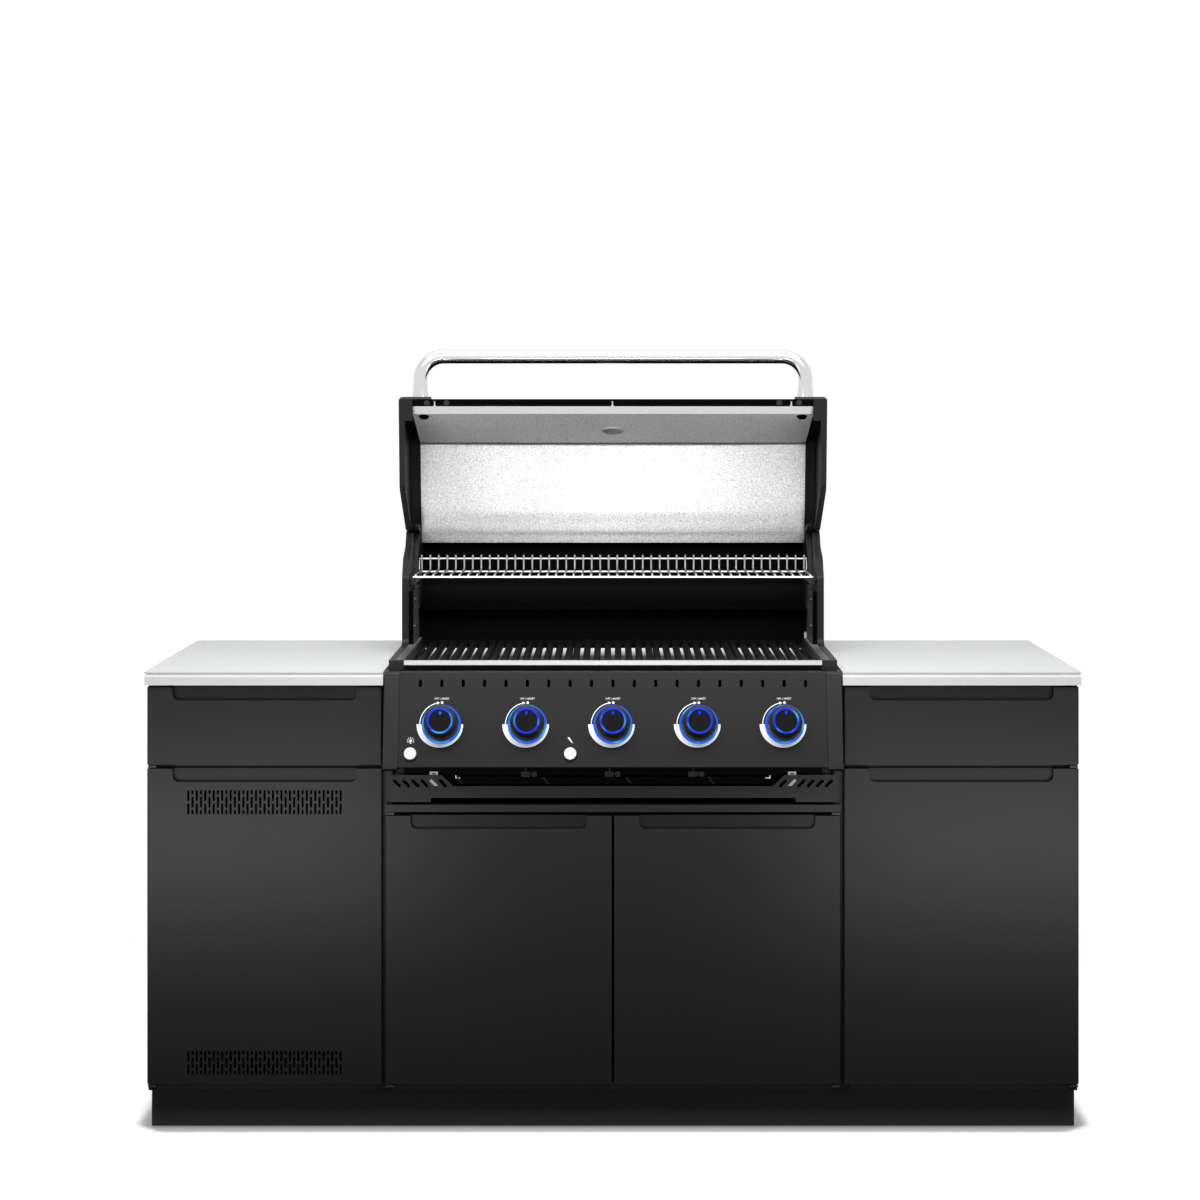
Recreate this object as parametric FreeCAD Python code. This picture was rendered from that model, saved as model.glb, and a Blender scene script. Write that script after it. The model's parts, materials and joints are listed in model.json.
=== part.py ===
import FreeCAD, Part
import math
import os

# An outdoor-kitchen island with a built-in gas grill head between two side cabinets.
# Millimetres. +X is to the right, +Y to the rear, +Z up. The origin is on the floor under the
# middle of the island. The lid is drawn open, and every door, drawer and button at rest.

V = FreeCAD.Vector

# Cabinets
side_cabinet_width = 465.0
centre_cabinet_width = 900.0
panel_thickness = 16.0
panel_skin = 2.0
panel_rim = 30.0
back_panel_thickness = 3.0
floor_lift = 4.0
toe_height = 100.0
toe_board = 12.0
toe_setback = 56.0
rail_depth = 24.0
top_rail_height = 20.0
mid_rail_lap = 8.0
foot_row_inset = 50.0
front_rail_gap = 13.0
front_rail_height = 14.0
foot_radius = 18.0
foot_disc = 8.0
leg_radius = 9.0
foot_inset = 80.0

# Countertops
counter_height = 912.0
counter_thickness = 26.5
counter_depth = 620.0
counter_skin = 4.0
counter_rim = 22.0
counter_front_overhang = 10.0
counter_back_overhang = 7.5
counter_end_overhang = 2.0
counter_groove_height = 7.0
counter_groove_depth = 2.2
counter_groove_drop = 3.5

# Doors and drawer fronts
front_thickness = 18.0
front_skin = 2.5
front_rim = 24.0
front_edge_round = 3.0
front_air = 4.0
front_outer_gap = 1.0
front_inner_gap = 3.0
centre_split = 4.0
door_floor_gap = 2.5
drawer_front_height = 152.0
drawer_counter_gap = 4.8
drawer_door_gap = 8.0
grill_door_rail_gap = 7.5
pull_margin = 50.0
pull_height = 26.0
pull_depth = 12.0
pull_corner = 12.0
pull_backing = 46.0
pivot_edge = 9.5
pivot_radius = 3.0
pivot_grip = 12.0
pivot_block = 16.0
pivot_block_height = 4.0
pivot_gap = 2.0
running_clearance = 0.05
slide_clearance = 0.4

# Vents in the left door
vent_columns = 37
vent_pitch = 8.3
vent_slot_width = 4.2
vent_band_height = 47.0
vent_bridge = 5.0
vent_dot = 8.0
vent_top_drop = 42.0
vent_bottom_rise = 18.0

# Drawer boxes and channels
drawer_wall = 3.0
drawer_box_height = 112.0
drawer_box_depth = 480.0
drawer_box_rise = 14.0
channel_depth = 13.0
channel_height = 40.0
channel_wall = 1.5

# Slotted rail under the control panel
slotted_rail_sheet = 2.0
slotted_rail_setback = 4.5
slotted_rail_drop = 67.0
slotted_rail_height = 23.0
end_plate_height = 22.0
end_plate_side_gap = 12.0
end_plate_length = 125.0
end_plate_slope = 24.0
end_plate_tab = 80.0
end_plate_tab_drop = 8.0
plate_slot_count = 6
plate_slot_pitch = 18.0
plate_slot_width = 6.0
plate_slot_length = 19.0
plate_slot_inset = 14.0
plate_slot_lean = 45.0

# Control panel
panel_side_gap = 3.5
panel_sheet = 2.5
panel_top_drop = 19.0
panel_height = 183.0
panel_tilt = 15.9
panel_top_setback = 3.0
panel_lower_flange = 34.0
panel_bend = 3.0
end_cap_width = 29.0
end_cap_proud = 3.0
end_cap_drop = 5.0
cooling_slot_count = 19
cooling_slot_end_room = 40.9
cooling_slot_width = 6.4
cooling_slot_length = 15.0
cooling_slot_drop = 23.0

# Knobs, light rings, valves and buttons
knob_count = 5
knob_end_room = 83.5
knob_drop = 100.2
knob_projection = 50.0
knob_base_radius = 33.0
knob_shoulder_radius = 31.0
knob_face_radius = 25.6
knob_face_depth = 9.0
knob_edge = 1.0
knob_mark_reach = 16.4
knob_mark_radius = 2.1
knob_mark_depth = 1.0
knob_pocket_radius = 27.0
knob_pocket_depth = 14.0
knob_hub_radius = 10.0
knob_travel = 3.0
knob_air = 0.5
bezel_radius = 38.4
bezel_thickness = 2.0
light_ring_outer = 38.0
light_ring_inner = 34.0
light_ring_thickness = 1.2
stem_radius = 4.0
stem_grip = 22.0
stem_hole_radius = 8.0
valve_radius = 13.0
valve_length = 22.0
valve_setback = 3.0
valve_floor = 6.0
manifold_radius = 9.0
button_radius = 12.0
button_proud = 6.0
button_round = 1.5
button_travel = 2.5
button_stem_radius = 8.0
button_stem_length = 18.0
button_flange_radius = 11.0
button_flange = 2.0
button_clearance = 0.3
button_rise = 27.0
light_button_inset = 53.2
ignition_button_offset = 82.9

# Firebox
firebox_side_gap = 9.0
firebox_front_setback = 23.0
firebox_length = 469.0
rim_rise = 20.0
rim_air = 4.5
end_wall = 16.0
tower_wall = 14.0
front_wall = 8.0
back_wall_rise = 64.0
floor_sheet = 4.0
trim_sheet = 1.5
trim_height = 9.0
trim_flange = 9.0
ledge_depth = 14.0
ledge_height = 10.0
support_rail_height = 20.0

# Lid hinge and tower, placed from the firebox front and the floor
hinge_rear_room = 69.0
hinge_rise = 132.5
hinge_pin_radius = 5.0
hinge_head_radius = 8.0
lid_swing = 83.0
tower_front = 96.0
tower_shoulder = 9.0
tower_cheek_run = 69.0
tower_cheek = 47.0
tower_saddle_run = 13.4
tower_saddle = 67.0
tower_peak_run = 12.6
tower_peak = 100.0
tower_crown_run = 47.4
tower_crown = 87.7
tower_rear = 79.0
tower_rear_shoulder = 40.8
tower_foot_round = 14.0
tower_shoulder_round = 16.0
tower_cheek_round = 18.0
tower_saddle_round = 22.0
tower_peak_round = 6.0
tower_rear_round = 20.0
inner_cheek = 10.0
inner_cheek_drop = 19.5
ear_radius = 14.0
ear_thickness = 10.0
ear_gap = 2.0
ear_overlap = 20.0
ear_lean = 60.0

# Burners, heat tents, grids and warming rack
burner_radius = 14.0
burner_bore = 12.0
burner_drop = 132.0
burner_hole_clearance = 0.3
tent_drop = 70.0
tent_half_width = 48.0
tent_rise = 26.0
tent_sheet = 2.0
grid_count = 5
grid_gap = 1.5
grid_height = 18.0
grid_bars = 8
grid_bar_width = 13.5
grid_bar_height = 9.0
grid_bar_slope = 2.3
grid_frame = 9.0
grid_rear_lift = 5.0
grid_rear_room = 32.0
grid_end_air = 3.0
rack_rise = 17.5
rack_front = 213.0
rack_depth = 161.0
rack_upturn = 35.0
rack_wire_radius = 2.0
rack_rod_radius = 2.6
rack_wires = 46
rack_end_air = 3.0
rack_arm_width = 8.0
rack_arm_height = 12.0
rack_top_rod_drop = 8.0
rack_arm_rear = 50.0
rack_ledge_front = 94.0

# Drip tray
tray_side_room = 111.0
tray_rise = 3.0
tray_height = 14.0
tray_length = 400.0
tray_sheet = 2.0
tray_flange = 8.0
tray_head_gap = 3.0
tray_head_room = 9.0

# Lid
lid_end_width = 28.0
lid_end_wall = 6.0
lid_end_rim = 9.0
lid_sheet = 2.5
lid_gap = 25.0
lid_front_length = 213.9
lid_front_lean = 24.3
lid_top_length = 220.0
lid_top_pitch = 3.1
lid_rim_set = 21.2
lid_corner_round = 46.0
lid_rear_round = 46.0
lid_rear_end = 10.5
lid_rear_reach = 70.0
lid_seat_gap = 2.0
liner_sheet = 1.0
hem_width = 16.5
lid_notch_run = 187.0
lid_notch_round = 28.0
lid_saddle_round = 24.0
lid_step_start = 45.0
lid_step_depth = 60.0
lid_step_width = 16.0
lid_cap_rear = 20.0
lid_cap_air = 1.5
lid_web = 1.5
lid_web_lap = 12.0
lid_boss_width = 67.0
lid_boss_length = 66.0
lid_boss_height = 5.0
lid_boss_round = 9.0

# Handle and thermometer on the lid
handle_radius = 14.5
handle_wall = 1.2
handle_inset = 43.0
handle_bend = 48.0
handle_lift = 91.0
handle_back = 28.0
standoff_height = 26.0
standoff_base_radius = 21.0
standoff_wall = 2.5
gauge_up = 139.0
gauge_radius = 36.0
gauge_depth = 16.0
gauge_stem_radius = 6.0
gauge_nut_radius = 22.5
gauge_nut_depth = 3.5

# Small hardware
screw_head_radius = 4.5
screw_head_height = 2.5
cheek_screw_front = 72.0
cheek_screw_drops = (40.0, 96.0)
hem_screw_inset = 9.0
hem_screw_spread = 40.5
handle_bolt_radius = 9.0
handle_bolt_height = 5.0
lead_count = 3
lead_pitch = 163.0
lead_first_x = -179.0
lead_block_height = 9.5
lead_block_depth = 10.0
lead_plug_length = 17.0
lead_neck_length = 4.0
lead_neck_height = 4.0
lead_drop = 9.5
lead_radius = 2.0
clip_width = 16.0
clip_sheet = 3.0

touching = 1e-6
sin_tilt = math.sin(math.radians(panel_tilt))
cos_tilt = math.cos(math.radians(panel_tilt))
tan_tilt = math.tan(math.radians(panel_tilt))

# Places worked out from the sizes
knob_face_flat = knob_face_radius - knob_edge
knob_overhang = knob_drop * tan_tilt + knob_projection * cos_tilt + knob_face_flat * sin_tilt
knob_front = panel_top_setback - knob_overhang
island_depth = counter_depth - knob_front
counter_back_y = island_depth / 2
counter_front_y = counter_back_y - counter_depth
counter_bottom = counter_height - counter_thickness
rim_height = counter_height + rim_rise
rim_bottom = counter_bottom + rim_air
panel_top_height = rim_height - panel_top_drop
panel_bottom_height = panel_top_height - panel_height
knob_height = panel_top_height - knob_drop
button_height = panel_bottom_height + button_rise
slotted_rail_bottom = panel_bottom_height - slotted_rail_drop
slotted_bar_top = slotted_rail_bottom + slotted_rail_height
front_rail_bottom = slotted_rail_bottom - front_rail_gap - front_rail_height
tray_bottom = slotted_bar_top + tray_rise
tray_top = tray_bottom + tray_height
firebox_bottom = tray_top + tray_head_room
back_wall_top = rim_height + back_wall_rise
hinge_height = rim_height + hinge_rise
rack_height = hinge_height + rack_rise
burner_height = rim_height - burner_drop
tent_height = rim_height - tent_drop
door_front_y = counter_front_y + counter_front_overhang
door_back_y = door_front_y + front_thickness
carcass_front_y = door_back_y + front_air
carcass_back_y = counter_back_y - counter_back_overhang
centre_half = centre_cabinet_width / 2
island_half = centre_half + side_cabinet_width
floor_panel_bottom = toe_height - panel_thickness
toe_front_y = door_front_y + toe_setback
door_bottom = toe_height + door_floor_gap
drawer_top = counter_bottom - drawer_counter_gap
drawer_bottom = drawer_top - drawer_front_height
side_door_top = drawer_bottom - drawer_door_gap
grill_door_top = front_rail_bottom - grill_door_rail_gap
firebox_front_y = counter_front_y + firebox_front_setback
firebox_back_y = firebox_front_y + firebox_length
firebox_half_width = centre_half - firebox_side_gap
wall_inner_x = firebox_half_width - tower_wall - end_wall
tower_inner_x = firebox_half_width - tower_wall
cheek_x = tower_inner_x - inner_cheek
hinge_setback = firebox_length - hinge_rear_room
hinge_y = firebox_front_y + hinge_setback
panel_top_y = counter_front_y + panel_top_setback
panel_half_width = centre_half - panel_side_gap
panel_reach = panel_half_width - end_cap_width
knob_pitch = 2 * (panel_reach - knob_end_room) / (knob_count - 1)
knob_xs = [(i - (knob_count - 1) / 2) * knob_pitch for i in range(knob_count)]
light_button_x = light_button_inset - panel_half_width
ignition_button_x = -ignition_button_offset
end_plate_outer = centre_half - end_plate_side_gap
end_plate_inner = end_plate_outer - end_plate_length
tray_half_width = wall_inner_x - tray_side_room
rack_half_width = wall_inner_x - rack_end_air
handle_half_span = firebox_half_width - handle_inset


def box(x0, x1, y0, y1, z0, z1):
    """A block between two corners."""
    return Part.makeBox(x1 - x0, y1 - y0, z1 - z0, V(x0, y0, z0))


def rod(start, end, radius):
    """A round bar from one point to another."""
    return Part.makeCylinder(radius, (end - start).Length, start, end - start)


def mirrored(shape):
    """The same shape on the other side of the middle."""
    return shape.mirror(V(0, 0, 0), V(1, 0, 0))


def both_sides(shape):
    """A shape and its mirror image, as two solids."""
    return [shape, mirrored(shape)]


def joined(shapes):
    """One solid from shapes that meet."""
    return shapes[0].multiFuse(shapes[1:]).removeSplitter()


def cut_all(shape, tools):
    """A shape with several cuts taken out of it."""
    return shape.cut(Part.makeCompound(tools))


def side_face(corners, x):
    """A flat face across X from (y, z) or (y, z, radius) corners, rounded where a radius is given."""
    edges = []
    count = len(corners)
    starts = []
    ends = []
    middles = []
    for i in range(count):
        here = V(x, corners[i][0], corners[i][1])
        radius = corners[i][2] if len(corners[i]) > 2 else 0.0
        before = V(x, corners[i - 1][0], corners[i - 1][1]) - here
        after = V(x, corners[(i + 1) % count][0], corners[(i + 1) % count][1]) - here
        if radius == 0.0:
            starts.append(here)
            ends.append(here)
            middles.append(None)
            continue
        before.normalize()
        after.normalize()
        half = before.getAngle(after) / 2
        reach = radius / math.tan(half)
        inward = before + after
        inward.normalize()
        starts.append(here + before * reach)
        ends.append(here + after * reach)
        middles.append(here + inward * (radius / math.sin(half) - radius))
    for i in range(count):
        if middles[i] is not None:
            edges.append(Part.Arc(starts[i], middles[i], ends[i]).toShape())
        follow = starts[(i + 1) % count]
        if (follow - ends[i]).Length > touching:
            edges.append(Part.LineSegment(ends[i], follow).toShape())
    return Part.Face(Part.Wire(edges))


def side_prism(corners, x0, x1):
    """A side outline carried from one X to another."""
    return side_face(corners, x0).extrude(V(x1 - x0, 0, 0))


def save(name, shapes):
    """One file for a node, from one solid or a list of separate solids."""
    shape = Part.makeCompound(shapes) if isinstance(shapes, list) else shapes
    shape.exportStep("parts/" + name + ".step")


# Cabinets: each as its outer left and right X
cabinets = [
    (-island_half, -centre_half),
    (-centre_half, centre_half),
    (centre_half, island_half),
]
side_cabinets = [cabinets[0], cabinets[2]]
panel_pocket_top = firebox_bottom - support_rail_height - panel_rim


def cabinet_panel(x0, skin_on_left):
    """A folded side panel with its toe notch, hollow towards the inside of its cabinet."""
    toe_y = toe_front_y + toe_board
    outline = [
        (carcass_front_y, floor_panel_bottom),
        (carcass_front_y, counter_bottom),
        (carcass_back_y, counter_bottom),
        (carcass_back_y, floor_lift),
        (toe_y, floor_lift),
        (toe_y, floor_panel_bottom),
    ]
    x1 = x0 + panel_thickness
    pocket_x0 = x0 + panel_skin if skin_on_left else x0
    pocket_x1 = x1 if skin_on_left else x1 - panel_skin
    pocket = box(
        pocket_x0, pocket_x1,
        carcass_front_y + panel_rim, carcass_back_y - panel_rim,
        toe_height + panel_rim, panel_pocket_top,
    )
    return side_prism(outline, x0, x1).cut(pocket)


def make_carcasses():
    """Side panels, floors, backs, toe boards and feet of the cabinets, and the deck behind the grill."""
    panels = []
    floors = []
    backs = []
    toes = []
    feet = []
    inner_back_y = carcass_back_y - back_panel_thickness
    foot_top = toe_height - panel_skin
    foot_rows = [toe_front_y + toe_board + foot_row_inset, carcass_back_y - foot_row_inset]
    for x0, x1 in cabinets:
        in0 = x0 + panel_thickness
        in1 = x1 - panel_thickness
        panels.append(cabinet_panel(x0, True))
        panels.append(cabinet_panel(in1, False))
        floor = box(in0, in1, carcass_front_y, inner_back_y, floor_panel_bottom, toe_height)
        floors.append(floor.cut(box(
            in0 + panel_rim, in1 - panel_rim, carcass_front_y + 2 * panel_rim, inner_back_y - panel_rim,
            floor_panel_bottom, foot_top,
        )))
        backs.append(box(in0, in1, inner_back_y, carcass_back_y, floor_panel_bottom, counter_bottom))
        toes.append(box(x0, x1, toe_front_y, toe_front_y + toe_board, floor_lift, floor_panel_bottom))
        for foot_x in (x0 + foot_inset, x1 - foot_inset):
            for foot_y in foot_rows:
                disc = rod(V(foot_x, foot_y, 0), V(foot_x, foot_y, foot_disc), foot_radius)
                leg = rod(V(foot_x, foot_y, foot_disc), V(foot_x, foot_y, foot_top), leg_radius)
                feet.append(joined([disc, leg]))
    backs.append(box(
        -centre_half, centre_half, firebox_back_y, carcass_back_y,
        counter_bottom, counter_bottom + back_panel_thickness,
    ))
    save("side_panels", panels)
    save("floor_panels", floors)
    save("back_panels", backs)
    save("toe_kicks", toes)
    save("levelling_feet", feet)


def make_countertops():
    """Two folded tops with a groove under the lip of the front and the outer end, deepest at its top."""
    x0 = centre_half
    x1 = island_half + counter_end_overhang
    slab = box(x0, x1, counter_front_y, counter_back_y, counter_bottom, counter_height)
    hollow = box(
        x0 + counter_rim, x1 - counter_rim,
        counter_front_y + counter_rim, counter_back_y - counter_rim,
        counter_bottom, counter_height - counter_skin,
    )
    groove_top = counter_height - counter_groove_drop
    groove_bottom = groove_top - counter_groove_height
    front_groove = side_prism([
        (counter_front_y, groove_bottom),
        (counter_front_y + counter_groove_depth, groove_top),
        (counter_front_y, groove_top),
    ], x0, x1)
    end_top = V(x1, counter_front_y, groove_top)
    end_face = Part.Face(Part.makePolygon([
        end_top, V(x1, counter_front_y, groove_bottom), end_top - V(counter_groove_depth, 0, 0), end_top
    ]))
    end_groove = end_face.extrude(V(0, counter_back_y - counter_front_y, 0))
    right = cut_all(slab, [hollow, front_groove, end_groove])
    save("right_countertop", right)
    save("left_countertop", mirrored(right))


def make_rails():
    """The front rail over the grill doors, the side cabinets' rails and the rails under the firebox."""
    reach = centre_half - front_inner_gap
    rails = [box(
        -reach, reach, door_front_y, carcass_front_y,
        front_rail_bottom, front_rail_bottom + front_rail_height,
    )]
    for x0, x1 in side_cabinets:
        in0 = x0 + panel_thickness
        in1 = x1 - panel_thickness
        rear_y = carcass_front_y + rail_depth
        rails.append(box(
            in0, in1, carcass_front_y, rear_y, counter_bottom - top_rail_height, counter_bottom
        ))
        rails.append(box(
            in0, in1, carcass_front_y, rear_y,
            side_door_top - mid_rail_lap, drawer_bottom + mid_rail_lap,
        ))
    support = box(
        wall_inner_x, centre_half - panel_thickness,
        firebox_front_y + rail_depth, firebox_back_y,
        firebox_bottom - support_rail_height, firebox_bottom,
    )
    save("cabinet_rails", rails + both_sides(support))


def make_slotted_rail():
    """A folded rail between the grill doors and the control panel, with slotted end plates."""
    front_y = door_front_y + slotted_rail_setback
    back_y = front_y + slotted_rail_sheet
    plate_top = slotted_bar_top + end_plate_height
    reach = end_plate_outer
    bar = box(-reach, reach, front_y, back_y, slotted_rail_bottom, slotted_bar_top)
    flange = box(
        -reach, reach, back_y, carcass_front_y,
        slotted_rail_bottom, slotted_rail_bottom + slotted_rail_sheet,
    )
    slope = [
        V(end_plate_inner, front_y, slotted_bar_top),
        V(reach, front_y, slotted_bar_top),
        V(reach, front_y, plate_top),
        V(end_plate_inner + end_plate_slope, front_y, plate_top),
    ]
    plate = Part.Face(Part.makePolygon(slope + slope[:1])).extrude(V(0, slotted_rail_sheet, 0))
    tab = box(
        reach - end_plate_tab, reach, front_y, back_y,
        slotted_rail_bottom - end_plate_tab_drop, slotted_rail_bottom,
    )
    slots = []
    slot_middle = slotted_bar_top + end_plate_height / 4
    for i in range(plate_slot_count):
        slot_x = reach - plate_slot_inset - i * plate_slot_pitch
        slot = box(
            -plate_slot_width / 2, plate_slot_width / 2, front_y, back_y,
            -plate_slot_length / 2, plate_slot_length / 2,
        )
        slot.rotate(V(0, 0, 0), V(0, 1, 0), plate_slot_lean)
        slot.translate(V(slot_x, 0, slot_middle))
        slots.append(slot)
    sides = both_sides(plate) + both_sides(tab)
    cuts = slots + [mirrored(slot) for slot in slots]
    save("slotted_rail", cut_all(joined([bar, flange] + sides), cuts))


def make_channels():
    """Channels for the drawers on the cabinet sides and runners for the drip tray under the firebox."""
    channels = []
    middle = drawer_bottom + drawer_front_height / 2
    z0 = middle - channel_height / 2
    z1 = middle + channel_height / 2
    y0 = carcass_front_y + panel_skin
    y1 = y0 + drawer_box_depth
    for x0, x1 in side_cabinets:
        left = x0 + panel_thickness
        right = x1 - panel_thickness
        left_bar = box(left, left + channel_depth, y0, y1, z0, z1)
        low = z0 + channel_wall
        high = z1 - channel_wall
        left_way = box(left + channel_wall, left + channel_depth, y0, y1, low, high)
        right_bar = box(right - channel_depth, right, y0, y1, z0, z1)
        right_way = box(right - channel_depth, right - channel_wall, y0, y1, low, high)
        channels.append(left_bar.cut(left_way))
        channels.append(right_bar.cut(right_way))
    flange_bottom = tray_bottom + tray_height - tray_sheet
    web_x = tray_half_width + tray_flange + slide_clearance
    shelf_top = flange_bottom - slide_clearance
    runner_y0 = firebox_front_y + front_wall
    runner_y1 = runner_y0 + tray_length
    shelf = box(
        tray_half_width + slide_clearance, web_x, runner_y0, runner_y1,
        shelf_top - tray_sheet, shelf_top,
    )
    web = box(web_x, web_x + tray_sheet, runner_y0, runner_y1, shelf_top - tray_sheet, firebox_bottom)
    channels += both_sides(joined([shelf, web]))
    save("slide_channels", channels)


# Doors and drawers: inner and outer X of the fronts on the right, mirrored for the left
side_front = (centre_half + front_inner_gap, island_half - front_outer_gap)
grill_front = (centre_split / 2, centre_half - front_inner_gap)
door_middle_y = door_front_y + front_thickness / 2


def front_board(x0, x1, z0, z1):
    """A pan-folded front with a finger pull along its top edge."""
    board = box(x0, x1, door_front_y, door_back_y, z0, z1)
    uprights = [edge for edge in board.Edges if abs(edge.Vertexes[0].Z - edge.Vertexes[1].Z) > touching]
    board = board.makeFillet(front_edge_round, uprights)
    hollow = box(
        x0 + front_rim, x1 - front_rim, door_front_y + front_skin, door_back_y,
        z0 + front_rim, z1 - pull_backing,
    )
    pull = box(
        x0 + pull_margin, x1 - pull_margin, door_front_y - pull_depth, door_front_y + pull_depth,
        z1 - pull_height, z1 + pull_height,
    )
    lower = [
        edge for edge in pull.Edges
        if abs(edge.Vertexes[0].Y - edge.Vertexes[1].Y) > touching and edge.Vertexes[0].Z < z1
    ]
    return cut_all(board, [hollow, pull.makeFillet(pull_corner, lower)])


def hung_door(inner_x, outer_x, top):
    """A right-hand door with pin holes near its outer edge, and the two pivots that carry it."""
    pin_x = outer_x - pivot_edge
    hole_radius = pivot_radius + running_clearance
    low_pin = V(pin_x, door_middle_y, door_bottom)
    high_pin = V(pin_x, door_middle_y, top)
    grip = V(0, 0, pivot_grip)
    air = V(0, 0, pivot_gap)
    holes = [
        rod(low_pin, low_pin + grip + air, hole_radius),
        rod(high_pin - grip - air, high_pin, hole_radius),
    ]
    door = cut_all(front_board(inner_x, outer_x, door_bottom, top), holes)
    half = pivot_block / 2
    low_top = door_bottom - door_floor_gap
    high_bottom = top + pivot_gap
    low_block = box(
        pin_x - half, pin_x + half, door_middle_y - half, carcass_front_y,
        low_top - pivot_block_height, low_top,
    )
    high_block = box(
        pin_x - half, pin_x + half, door_middle_y - half, carcass_front_y,
        high_bottom, high_bottom + pivot_block_height,
    )
    pivots = [
        joined([low_block, rod(V(pin_x, door_middle_y, low_top), low_pin + grip, pivot_radius)]),
        joined([high_block, rod(high_pin - grip, V(pin_x, door_middle_y, high_bottom), pivot_radius)]),
    ]
    return door, pivots


def vent_cuts(middle_x, band_bottom):
    """One band of upright slots in a running bond."""
    cuts = []
    long_slot = (vent_band_height - vent_bridge) / 2
    middle_slot = vent_band_height - 2 * (vent_dot + vent_bridge)
    split = [(0, long_slot), (long_slot + vent_bridge, long_slot)]
    dotted = [
        (0, vent_dot),
        (vent_dot + vent_bridge, middle_slot),
        (vent_band_height - vent_dot, vent_dot),
    ]
    for i in range(vent_columns):
        slot_x = middle_x + (i - (vent_columns - 1) / 2) * vent_pitch
        for rise, length in (split if i % 2 == 0 else dotted):
            cuts.append(box(
                slot_x - vent_slot_width / 2, slot_x + vent_slot_width / 2, door_front_y, door_back_y,
                band_bottom + rise, band_bottom + rise + length,
            ))
    return cuts


def make_doors():
    """Four doors on vertical pin pivots. The left one is vented."""
    right_door, side_pivots = hung_door(side_front[0], side_front[1], side_door_top)
    grill_door, grill_pivots = hung_door(grill_front[0], grill_front[1], grill_door_top)
    vent_x = -(side_front[0] + side_front[1]) / 2
    vents = vent_cuts(vent_x, side_door_top - vent_top_drop - vent_band_height)
    vents += vent_cuts(vent_x, door_bottom + vent_bottom_rise)
    save("right_door", right_door)
    save("left_door", cut_all(mirrored(right_door), vents))
    save("grill_door_right", grill_door)
    save("grill_door_left", mirrored(grill_door))
    pivots = side_pivots + grill_pivots
    save("door_pivots", pivots + [mirrored(pivot) for pivot in pivots])


def make_drawers():
    """Two drawers: a pulled front and an open box whose runners slide in the channels."""
    front = front_board(side_front[0], side_front[1], drawer_bottom, drawer_top)
    face_left = centre_half + panel_thickness
    face_right = island_half - panel_thickness
    x0 = face_left + channel_depth + slide_clearance
    x1 = face_right - channel_depth - slide_clearance
    y0 = door_back_y
    y1 = y0 + drawer_box_depth
    z0 = drawer_bottom + drawer_box_rise
    z1 = z0 + drawer_box_height
    hollow = box(
        x0 + drawer_wall, x1 - drawer_wall, y0 + drawer_wall, y1 - drawer_wall, z0 + drawer_wall, z1
    )
    tub = box(x0, x1, y0, y1, z0, z1).cut(hollow)
    middle = drawer_bottom + drawer_front_height / 2
    half = channel_height / 2 - channel_wall - slide_clearance
    reach = channel_wall + slide_clearance
    runner_y0 = carcass_front_y + panel_skin
    left_runner = box(face_left + reach, x0, runner_y0, y1, middle - half, middle + half)
    right_runner = box(x1, face_right - reach, runner_y0, y1, middle - half, middle + half)
    drawer = joined([tub, left_runner, right_runner])
    save("right_drawer_front", front)
    save("left_drawer_front", mirrored(front))
    save("right_drawer_box", drawer)
    save("left_drawer_box", mirrored(drawer))


# Control panel: a slanted face whose own frame has X along it, Y up it and Z out of it
knob_base = bezel_thickness + light_ring_thickness + knob_travel + knob_air
valve_front = -panel_sheet - valve_setback
valve_back = valve_front - valve_length


def panel_y(height):
    """Y of the panel's face at a height."""
    return panel_top_y - (panel_top_height - height) * tan_tilt


def on_panel(shape, x, height):
    """A shape drawn in the panel's own frame, moved to a place on its face."""
    placed = shape.copy()
    placed.rotate(V(0, 0, 0), V(1, 0, 0), 90 - panel_tilt)
    placed.translate(V(x, panel_y(height), height))
    return placed


def washer(outer, inner, low, high):
    """A flat ring in the panel's own frame."""
    ring = rod(V(0, 0, low), V(0, 0, high), outer)
    return ring.cut(rod(V(0, 0, low), V(0, 0, high), inner))


def turned(profile):
    """A solid turned about the panel frame's Z from (radius, height) corners."""
    corners = [V(radius, 0, height) for radius, height in profile]
    return Part.Face(Part.makePolygon(corners + corners[:1])).revolve(V(0, 0, 0), V(0, 0, 1), 360)


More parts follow.
